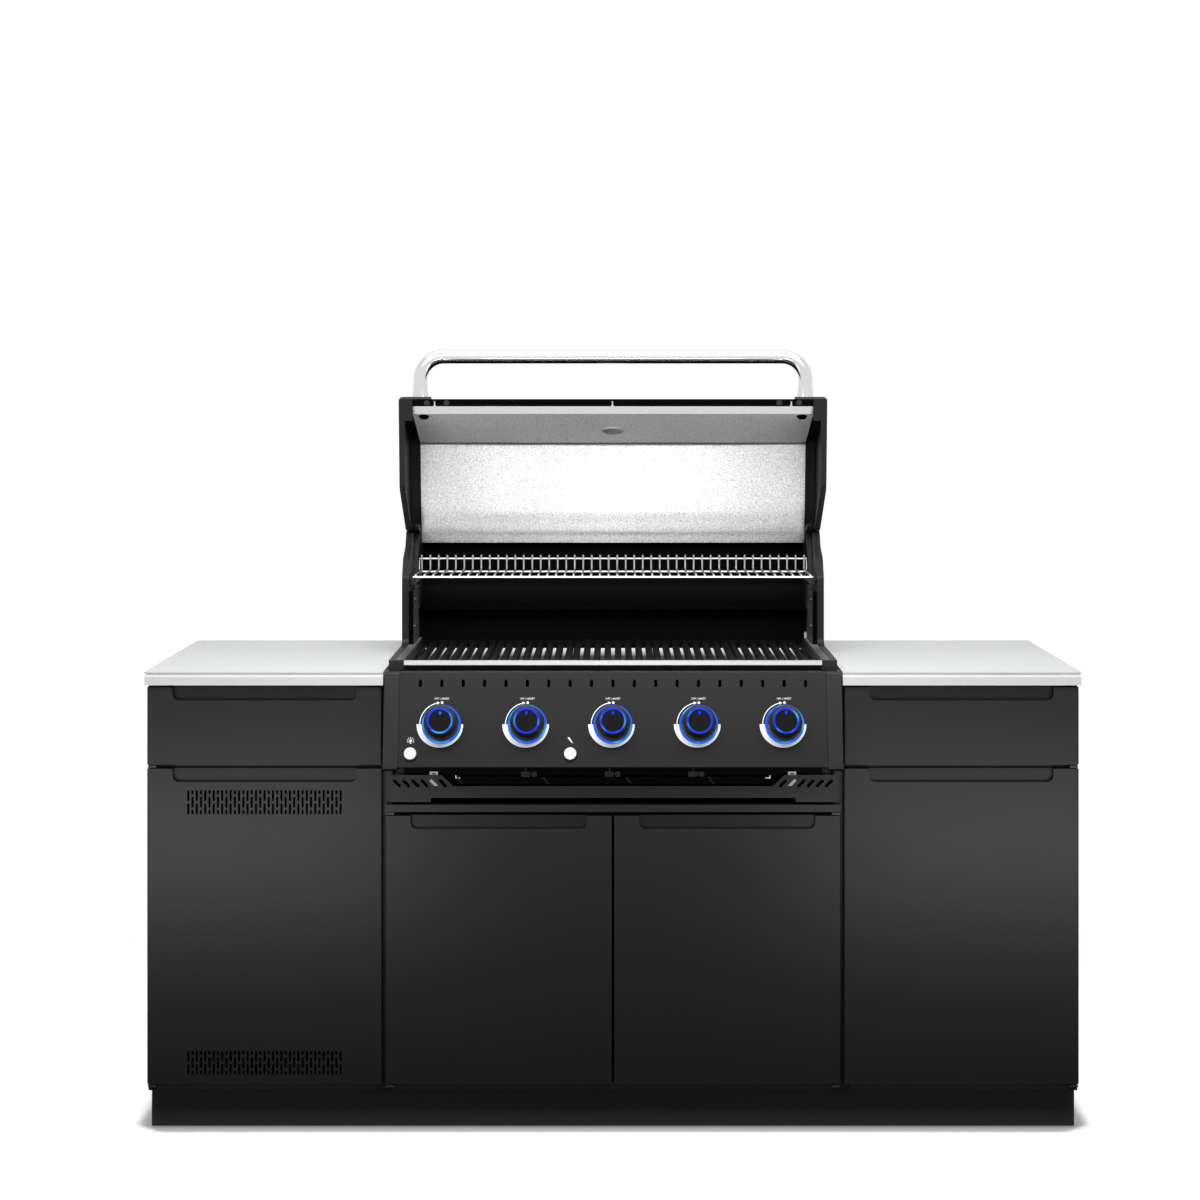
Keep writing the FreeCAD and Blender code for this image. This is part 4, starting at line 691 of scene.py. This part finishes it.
class GRILL_OT_printed_marks(bpy.types.Operator):
    """Print the heat crescents, turning arrows and button signs on the control panel"""

    bl_idname = "grill.printed_marks"
    bl_label = "Printed Marks"

    def execute(self, context):
        colours = context.scene.grill_finishes
        trim = context.scene.grill_trim
        ink = finish("White Ink Painted Glow", "Coat Grain", colours.print_white, scale=900.0, tone=0.06,
                     roughness=0.5, spread=0.1)
        # Painted light: the ink and the cable clips glow faintly with their own white, lifting the marks out
        # of the knobs' shadow and the clips out of their shade.
        shader = ink.node_tree.nodes["Principled BSDF"]
        shader.inputs["Emission Color"].default_value = (*colours.print_white, 1.0)
        shader.inputs["Emission Strength"].default_value = INK_PAINTED_GLOW
        dress(("cable_clips",), ink)
        for i, carrier in enumerate(numbered("knob"), 1):
            pos = JOINTS[carrier + "_turn"]["pos_m"]
            shape = self.knob_marks(trim.ring_steps)
            inked(f"knob_print_{i}", shape, panel_frame(pos[0], pos[2]), trim.print_height, ink)
        for name, shape in (("light_button", self.bulb_sign()), ("ignition_button", self.spark_sign())):
            inked(f"{name}_sign", shape, self.button_place(name), trim.print_height, ink)
        return {"FINISHED"}

    def knob_marks(self, steps):
        """The crescent under a knob, the arrow at its upper left and the dot and words above it."""
        shape = bmesh.new()
        band(shape, *CRESCENT_RADII, *CRESCENT_ARC, steps // 2, CRESCENT_SHIFT)
        band(shape, ARROW_RADIUS - ARROW_WIDTH / 2, ARROW_RADIUS + ARROW_WIDTH / 2, *ARROW_ARC, steps // 3)
        flat_shape(shape, ARROW_HEAD)
        disc(shape, DOT_RADIUS, DOT_X, ARROW_RADIUS)
        lettering(shape, OFF_WORDS, WORDS_HEIGHT, 0.0, WORDS_UP)
        return shape

    def button_place(self, name):
        """The place where a button's axis meets the panel face."""
        low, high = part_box(name)
        middle = (low + high) / 2
        knob = JOINTS["knob_1_turn"]
        out = Vector(knob["axis"])
        depth = (middle - Vector(knob["pos_m"])).dot(out)
        return panel_frame(middle.x, (middle - out * depth).z)

    def bulb_sign(self):
        """A small lamp with rays."""
        shape = bmesh.new()
        disc(shape, BULB_RADIUS, *SIGN_UP, BULB_SIDES)
        flat_shape(shape, [Vector(corner) + SIGN_UP for corner in BULB_CAP])
        for i in range(RAY_COUNT):
            turn = Matrix.Rotation(math.radians(RAY_START + i * RAY_STEP), 2)
            flat_shape(shape, [turn @ Vector(corner) + SIGN_UP for corner in RAY])
        return shape

    def spark_sign(self):
        """A small lightning stroke."""
        shape = bmesh.new()
        flat_shape(shape, [Vector(corner) + SIGN_UP for corner in SPARK])
        return shape


def block(shape, x0, x1, y0, y1, z0, z1):
    """A box between limits in millimetres."""
    made = bmesh.ops.create_cube(shape, size=1.0)["verts"]
    size = Vector((x1 - x0, y1 - y0, z1 - z0)) * MM
    bmesh.ops.scale(shape, vec=size, verts=made)
    bmesh.ops.translate(shape, vec=Vector((x0 + x1, y0 + y1, z0 + z1)) * MM / 2, verts=made)


def plates(name, body, boxes, material, twins=False):
    """A piece of thin plates, each a box between limits, with their twins on the left if asked for."""
    shape = bmesh.new()
    for x0, x1, *rest in boxes:
        block(shape, x0, x1, *rest)
        if twins:
            block(shape, -x1, -x0, *rest)
    return piece(name, shape, body, material)


def stud(shape, centre, out, radius, top, height, sides):
    """A round or sided head standing on a place in millimetres."""
    made = bmesh.ops.create_cone(
        shape, cap_ends=True, segments=sides, radius1=radius * MM, radius2=top * MM, depth=height * MM,
    )["verts"]
    turn = out.to_track_quat("Z", "Y").to_matrix().to_4x4()
    place = Matrix.Translation((centre + out * (height / 2)) * MM) @ turn
    bmesh.ops.transform(shape, matrix=place, verts=made)


def facing(start, end):
    """The way that a strip between two places in the side view faces, towards the front."""
    along = (end - start).normalized()
    return Vector((0.0, along.z, -along.y))


def slat(shape, x0, x1, start, end, low, high):
    """A plate that stands off the line between two places in the side view, in millimetres."""
    along = end - start
    out = facing(start, end)
    made = bmesh.ops.create_cube(shape, size=1.0)["verts"]
    bmesh.ops.scale(shape, vec=Vector((x1 - x0, along.length, high - low)) * MM, verts=made)
    middle = (start + end) / 2 + out * (low + high) / 2 + ACROSS * (x0 + x1) / 2
    place = Matrix.Translation(middle * MM) @ laid_on(along.normalized(), out)
    bmesh.ops.transform(shape, matrix=place, verts=made)


# Plates are left and right, front and back, low and high limits in millimetres.
DEFLECTOR = (-400.0, 400.0, 165.8, 167.6, 889.0, 913.6)
# Painted shade and painted glow on the rear deflector: the heights over which its colour falls, and the
# strength of its glow.
DEFLECTOR_SHADE_RUN = (896.0, 913.0)
DEFLECTOR_PAINTED_GLOW = 0.8
SIDE_STRIPS = ((411.2, 426.6, -243.0, 56.0, 932.0, 932.8), (411.2, 415.6, 56.0, 213.0, 932.0, 932.8))
# Painted light and shade along the grid side strips: the Y limits in millimetres over which their colour
# rises.
SIDE_STRIP_LIGHT_RUN = (-50.0, 200.0)
CORNER_CLIP = (411.2, 416.2, 200.0, 213.0, 932.0, 944.0)
# Painted shade: the limits of a dead black sheet over the control panel's top edge.
PANEL_SHADE_SHEET = (-417.0, 417.0, -262.0, -248.4, 913.05, 913.5)
CHEEK_FRONT = (417.2, 426.8, 56.0, 56.6, 933.0, 1044.0)
REAR_SHIELD = (413.2, 427.0, 262.0, 264.0, 1030.0, 1075.0)

# The open lid's front edge in the side view: its lip, the end of its hem and the end of its flange.
LIP = Vector((0.0, -25.1, 1445.6))
HEM_END = Vector((0.0, -18.6, 1430.8))
FLANGE_END = Vector((0.0, -12.7, 1415.4))
FLANGE_HALF = 409.0
FLANGE_PROUD = (0.2, 0.8)
HEM_BOLT = {"radius": 6.6, "top": 6.2, "height": 1.3, "sides": 6}
HEM_BOLT_X = (383.0, 342.5)
HEM_PIN_X = (-367.1, -1.1, 367.1)
PIN_HEAD = {"radius": 3.2, "top": 2.8, "height": 1.2, "sides": 16}
PIN_HALF = 1.3
PIN_RUN = (-0.2, 0.3)
HANDLE_NUT = {"radius": 11.3, "top": 8.0, "height": 4.8, "sides": 24}
NUT_SEAT = Vector((0.0, 4.3, 1410.2))
NUT_OUT = Vector((0.0, -0.31, -0.95))
NUT_X = 391.0

DIAL_CENTRE = Vector((0.0, 111.9, 1419.7))
DIAL_OUT = Vector((0.0, 0.2974, 0.9548))
DIAL_INK = 0.3
DIAL_RING = (31.6, 33.4)
DIAL_RING_STEPS = 48
DIAL_HUB = 3.2
DIAL_NEEDLE = ((-13.8, -15.6), (-2.6, 0.8), (0.8, -2.6))
TICK_COUNT = 9
TICK_RADII = (24.0, 28.5)
TICK_START = 222.0
TICK_SWEEP = 264.0
TICK_WIDE = 5.0

TRAY_TOP = 703.0
TRAY_DEEP = 14.0
SEAM_X = (-306.0, -136.0, 27.0, 190.0)
SEAM_DEPTH = (-247.4, -246.7)
SEAM_HALF = 1.4
SEAM_BOW = 12.0
SEAM_CURVE = 1.5
SEAM_STEPS = 6


class GRILL_OT_trim(bpy.types.Operator):
    """Add the thin plates, strips, bolts, pins, nuts, dial and seams of the firebox, the lid and the tray"""

    bl_idname = "grill.trim"
    bl_label = "Trim"

    def execute(self, context):
        plate = finish("Satin Plate", "Coat Grain", (0.8, 0.8, 0.8), scale=420.0, tone=0.35,
                       roughness=0.45, spread=0.1, bump=0.2, ior=1.4)
        dull = finish("Side Strip", "Coat Grain", (0.3, 0.3, 0.3), scale=420.0, tone=0.8,
                      roughness=0.4, spread=0.1, bump=0.3)
        # Painted light and shade: the strips' colour runs from 0.28 times its own at Y -50 mm to 1.4 times at
        # Y 200 mm; the tray seams, further forward, take the darkest end.
        shaded_by(dull, "Object", "Y", run=metres(SIDE_STRIP_LIGHT_RUN), tones=(0.28, 1.4))
        black = black_trim()
        plates("rear_deflector", "island", [DEFLECTOR], self.deflector_glow_finish())
        plates("grid_side_strips", "island", SIDE_STRIPS, dull, twins=True)
        self.lid_front(plate)
        self.dial(black)
        plates("corner_clip", "island", [CORNER_CLIP], plate)
        # Painted shade: a dead black sheet over the control panel's top edge, standing in for the shadowed
        # gap below the front strip.
        plates("panel_shade_sheet", "island", [PANEL_SHADE_SHEET], black)
        plates("cheek_fronts", "island", [CHEEK_FRONT], black, twins=True)
        plates("lid_shields", "lid", [REAR_SHIELD], black, twins=True)
        steps = [self.seam_step(x, i) for x in SEAM_X for i in range(SEAM_STEPS)]
        plates("tray_seams", "drip_tray", steps, dull)
        return {"FINISHED"}

    def deflector_glow_finish(self):
        """Pale metal with painted light: its colour falls to 0.06 towards its lower edge as painted shade,
        and it glows with that colour as a painted glow.
        """
        bright = finish("Deflector Painted Glow", "Coat Grain", (0.9, 0.9, 0.9), scale=420.0, tone=0.2,
                        roughness=0.45, spread=0.1, bump=0.2, ior=1.4)
        shaded_by(bright, "Object", "Z", run=metres(DEFLECTOR_SHADE_RUN), tones=(0.06, 1.0))
        shader = bright.node_tree.nodes["Principled BSDF"]
        painted_glow_colour = shader.inputs["Base Color"].links[0].from_socket
        bright.node_tree.links.new(painted_glow_colour, shader.inputs["Emission Color"])
        shader.inputs["Emission Strength"].default_value = DEFLECTOR_PAINTED_GLOW
        return bright

    def lid_front(self, plate):
        """The bright flange and the hexagon heads, nuts and pins along the open lid's front."""
        shape = bmesh.new()
        slat(shape, -FLANGE_HALF, FLANGE_HALF, HEM_END, FLANGE_END, *FLANGE_PROUD)
        piece("lid_flange_plate", shape, "lid", plate)
        hem = facing(LIP, HEM_END)
        middle = (LIP + HEM_END) / 2
        heads = bmesh.new()
        for x in HEM_BOLT_X:
            for side in SIDES:
                stud(heads, middle + ACROSS * side * x, hem, **HEM_BOLT)
        grey = finish("Bolt Steel", "Coat Grain", (0.05, 0.05, 0.05), scale=300.0, tone=0.2,
                      roughness=0.4, spread=0.1, bump=0.1)
        made = piece("hem_bolts", heads, "lid", grey)
        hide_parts("lid_screws")
        nuts = bmesh.new()
        for side in SIDES:
            stud(nuts, NUT_SEAT + ACROSS * side * NUT_X, NUT_OUT, **HANDLE_NUT)
        piece("handle_nuts", nuts, "lid", black_trim(), SMOOTH_ANGLE)
        pins = bmesh.new()
        start, end = (middle + (HEM_END - LIP) * share for share in PIN_RUN)
        for x in HEM_PIN_X:
            slat(pins, x - PIN_HALF, x + PIN_HALF, start, end, 0.0, PIN_HEAD["height"])
            stud(pins, HEM_END + ACROSS * x, hem, **PIN_HEAD)
        piece("lid_pins", pins, "lid", plate, SMOOTH_ANGLE)

    def dial(self, black):
        """The ring, the ticks and the needle on the thermometer's face."""
        shape = bmesh.new()
        band(shape, *DIAL_RING, 0.0, 360.0, DIAL_RING_STEPS)
        for i in range(TICK_COUNT):
            band(shape, *TICK_RADII, TICK_START - i * TICK_SWEEP / (TICK_COUNT - 1), TICK_WIDE, 2)
        disc(shape, DIAL_HUB, 0.0, 0.0)
        flat_shape(shape, DIAL_NEEDLE)
        place = Matrix.Translation(DIAL_CENTRE * MM) @ laid_on(DIAL_OUT.cross(ACROSS), DIAL_OUT)
        inked("gauge_dial", shape, place, DIAL_INK * MM, black, "lid")

    def seam_step(self, x, i):
        """One short length of a thin strip that bows to the right on its way down the tray front."""
        rise = TRAY_DEEP / SEAM_STEPS
        middle = x + SEAM_BOW * (i / SEAM_STEPS) ** SEAM_CURVE
        top = TRAY_TOP - i * rise
        return middle - SEAM_HALF, middle + SEAM_HALF, *SEAM_DEPTH, top - rise, top


FLOOR_START = 1.3
FLOOR_END = 2.4
FLOOR_SIDES = 64
FLOOR_DIM = (0.06, 0.06, 0.06, 1.0)
# Painted contact shadow on the floor: how far the occlusion reaches in metres, the occlusion over which the
# floor darkens, and the share that it falls to.
CONTACT_REACH = 0.055
CONTACT_RUN = (0.72, 0.98)
PAINTED_CONTACT_SHADOW = 0.3
SENSOR_WIDTH = 36.0


def lamp(name, power, size, place, target, spread, sheen_only=False):
    """A soft rectangular lamp aimed at a point. One for sheen only shows in coats and metal."""
    data = bpy.data.lights.new(name, "AREA")
    data.energy = power
    data.shape = "RECTANGLE"
    data.size, data.size_y = size
    data.spread = math.radians(spread)
    lit = bpy.data.objects.new(name, data)
    lit.location = place
    lit.rotation_euler = (Vector(target) - Vector(place)).to_track_quat("-Z", "Y").to_euler()
    lit.visible_camera = False
    lit.visible_diffuse = not sheen_only
    bpy.context.scene.collection.objects.link(lit)


class GRILL_OT_stage(bpy.types.Operator):
    """Set the camera, the lamps, the white surround and the floor"""

    bl_idname = "grill.stage"
    bl_label = "Stage"

    def execute(self, context):
        scene = context.scene
        stage = scene.grill_stage
        self.camera(scene, stage)
        self.lamps(stage)
        self.surround(scene, stage)
        self.floor(scene, stage)
        scene.view_settings.view_transform = "Standard"
        return {"FINISHED"}

    def camera(self, scene, stage):
        """A level camera before the island, shifted down to frame it."""
        view = bpy.data.cameras.new("Camera")
        view.lens = stage.lens
        view.sensor_width = SENSOR_WIDTH
        view.shift_x = stage.shift_x
        view.shift_y = stage.shift_y
        camera = bpy.data.objects.new("Camera", view)
        camera.location = (0.0, stage.camera_y, stage.camera_z)
        camera.rotation_euler = (math.radians(90.0), 0.0, 0.0)
        scene.collection.objects.link(camera)
        scene.camera = camera

    def lamps(self, stage):
        """A high front lamp, a weak one overhead, a low card for the liner and two cards for sheen."""
        lamp("Key Lamp", stage.key_power, size=(3.6, 0.9), place=(0.0, -1.9, 2.6),
             target=(0.0, -0.26, 0.85), spread=110.0)
        lamp("Top Lamp", stage.top_power, size=(3.0, 0.8), place=(0.0, 0.1, 2.7),
             target=(0.0, 0.1, 0.9), spread=90.0)
        lamp("Low Card", stage.card_power, size=(0.8, 0.2), place=(0.0, -2.45, 0.17),
             target=(0.0, 0.21, 1.27), spread=24.0)
        for side in SIDES:
            lamp("Side Card", stage.side_power, size=(0.85, 0.3), place=(side * 0.86, -1.06, 0.45),
                 target=(side * 0.6845, -0.26, 0.59), spread=120.0, sheen_only=True)

    def surround(self, scene, stage):
        """White behind the island and in bright metal, and a faint even light on everything."""
        world = bpy.data.worlds.new("Studio White")
        world.use_nodes = True
        scene.world = world
        tree = world.node_tree
        sky = tree.nodes["Background"]
        sky.inputs["Color"].default_value = (1.0, 1.0, 1.0, 1.0)
        path = tree.nodes.new("ShaderNodeLightPath")
        shine = put_node(tree, "ShaderNodeMapRange", To_Min=stage.world_fill, To_Max=stage.world_shine)
        seen = put_node(tree, "ShaderNodeMath", operation="MAXIMUM")
        tree.links.new(path.outputs["Is Glossy Ray"], shine.inputs["Value"])
        tree.links.new(shine.outputs["Result"], seen.inputs[0])
        tree.links.new(path.outputs["Is Camera Ray"], seen.inputs[1])
        tree.links.new(seen.outputs["Value"], sky.inputs["Strength"])

    def floor(self, scene, stage):
        """A round floor under the island that fades out into the white."""
        shape = bmesh.new()
        bmesh.ops.create_circle(shape, cap_ends=True, segments=FLOOR_SIDES, radius=FLOOR_END)
        mesh = bpy.data.meshes.new("studio_floor")
        shape.to_mesh(mesh)
        shape.free()
        made = bpy.data.objects.new("studio_floor", mesh)
        scene.collection.objects.link(made)
        mesh.materials.append(self.floor_finish(stage))

    def floor_finish(self, stage):
        """A pale floor for the camera that keeps the lamps' shadow and has a painted contact shadow along the
        island's foot, and a dim one for the light that spreads.
        """
        material = finish("Studio Floor", "Coat Grain", stage.floor_colour, scale=3.0, tone=0.02,
                          roughness=0.9, spread=0.02)
        tree = material.node_tree
        pale = tree.nodes["Principled BSDF"]
        pale.inputs["Specular IOR Level"].default_value = 0.0
        pale.inputs["Emission Strength"].default_value = stage.floor_lift
        # Painted shadow: ambient occlusion darkens the floor's colour and its glow to 0.3 along the island's
        # foot.
        contact = put_node(tree, "ShaderNodeAmbientOcclusion", samples=8, Distance=CONTACT_REACH)
        shade = put_node(
            tree, "ShaderNodeMapRange", interpolation_type="SMOOTHSTEP", From_Min=CONTACT_RUN[0],
            From_Max=CONTACT_RUN[1], To_Min=PAINTED_CONTACT_SHADOW,
        )
        tint = put_node(tree, "ShaderNodeVectorMath", operation="SCALE")
        ground = tree.nodes["Group"]
        tree.links.new(contact.outputs["AO"], shade.inputs["Value"])
        tree.links.new(ground.outputs["Color"], tint.inputs[0])
        tree.links.new(shade.outputs["Result"], tint.inputs["Scale"])
        tree.links.new(tint.outputs["Vector"], pale.inputs["Base Color"])
        tree.links.new(shade.outputs["Result"], pale.inputs["Emission Color"])
        dim = put_node(tree, "ShaderNodeBsdfDiffuse", Color=FLOOR_DIM)
        path = tree.nodes.new("ShaderNodeLightPath")
        near = tree.nodes.new("ShaderNodeMixShader")
        tree.links.new(path.outputs["Is Camera Ray"], near.inputs["Fac"])
        tree.links.new(dim.outputs["BSDF"], near.inputs[1])
        tree.links.new(pale.outputs["BSDF"], near.inputs[2])
        reach = put_node(tree, "ShaderNodeVectorMath", operation="LENGTH")
        fade = put_node(
            tree, "ShaderNodeMapRange", interpolation_type="SMOOTHSTEP", From_Min=FLOOR_START,
            From_Max=FLOOR_END,
        )
        clear = tree.nodes.new("ShaderNodeBsdfTransparent")
        whole = tree.nodes.new("ShaderNodeMixShader")
        tree.links.new(tree.nodes["Texture Coordinate"].outputs["Object"], reach.inputs[0])
        tree.links.new(reach.outputs["Value"], fade.inputs["Value"])
        tree.links.new(fade.outputs["Result"], whole.inputs["Fac"])
        tree.links.new(near.outputs["Shader"], whole.inputs[1])
        tree.links.new(clear.outputs["BSDF"], whole.inputs[2])
        tree.links.new(whole.outputs["Shader"], tree.nodes["Material Output"].inputs["Surface"])
        return material


STEPS = (
    GRILL_OT_cabinets,
    GRILL_OT_firebox,
    GRILL_OT_control_panel,
    GRILL_OT_knobs,
    GRILL_OT_printed_marks,
    GRILL_OT_lid,
    GRILL_OT_trim,
    GRILL_OT_stage,
)


class GRILL_PT_panel(bpy.types.Panel):
    """The island's steps and settings"""

    bl_idname = "GRILL_PT_panel"
    bl_label = "Grill Island"
    bl_space_type = "VIEW_3D"
    bl_region_type = "UI"
    bl_category = "Grill Island"

    def draw(self, context):
        layout = self.layout
        for settings in (context.scene.grill_finishes, context.scene.grill_trim, context.scene.grill_stage):
            column = layout.column()
            for key in settings.__annotations__:
                column.prop(settings, key)
        for step in STEPS:
            layout.operator(step.bl_idname)


GROUPS = {"grill_finishes": GrillFinishes, "grill_trim": GrillTrim, "grill_stage": GrillStage}
CLASSES = (*GROUPS.values(), *STEPS, GRILL_PT_panel)


def register():
    """Make the settings, the steps and the panel known."""
    for item in CLASSES:
        bpy.utils.register_class(item)
    for name, group in GROUPS.items():
        setattr(bpy.types.Scene, name, PointerProperty(type=group))


def unregister():
    """Take the settings, the steps and the panel away again."""
    for name in GROUPS:
        delattr(bpy.types.Scene, name)
    for item in reversed(CLASSES):
        bpy.utils.unregister_class(item)


def main():
    """Run every step in order."""
    register()
    for step in STEPS:
        family, action = step.bl_idname.split(".")
        getattr(getattr(bpy.ops, family), action)()


if __name__ == "__main__":
    main()
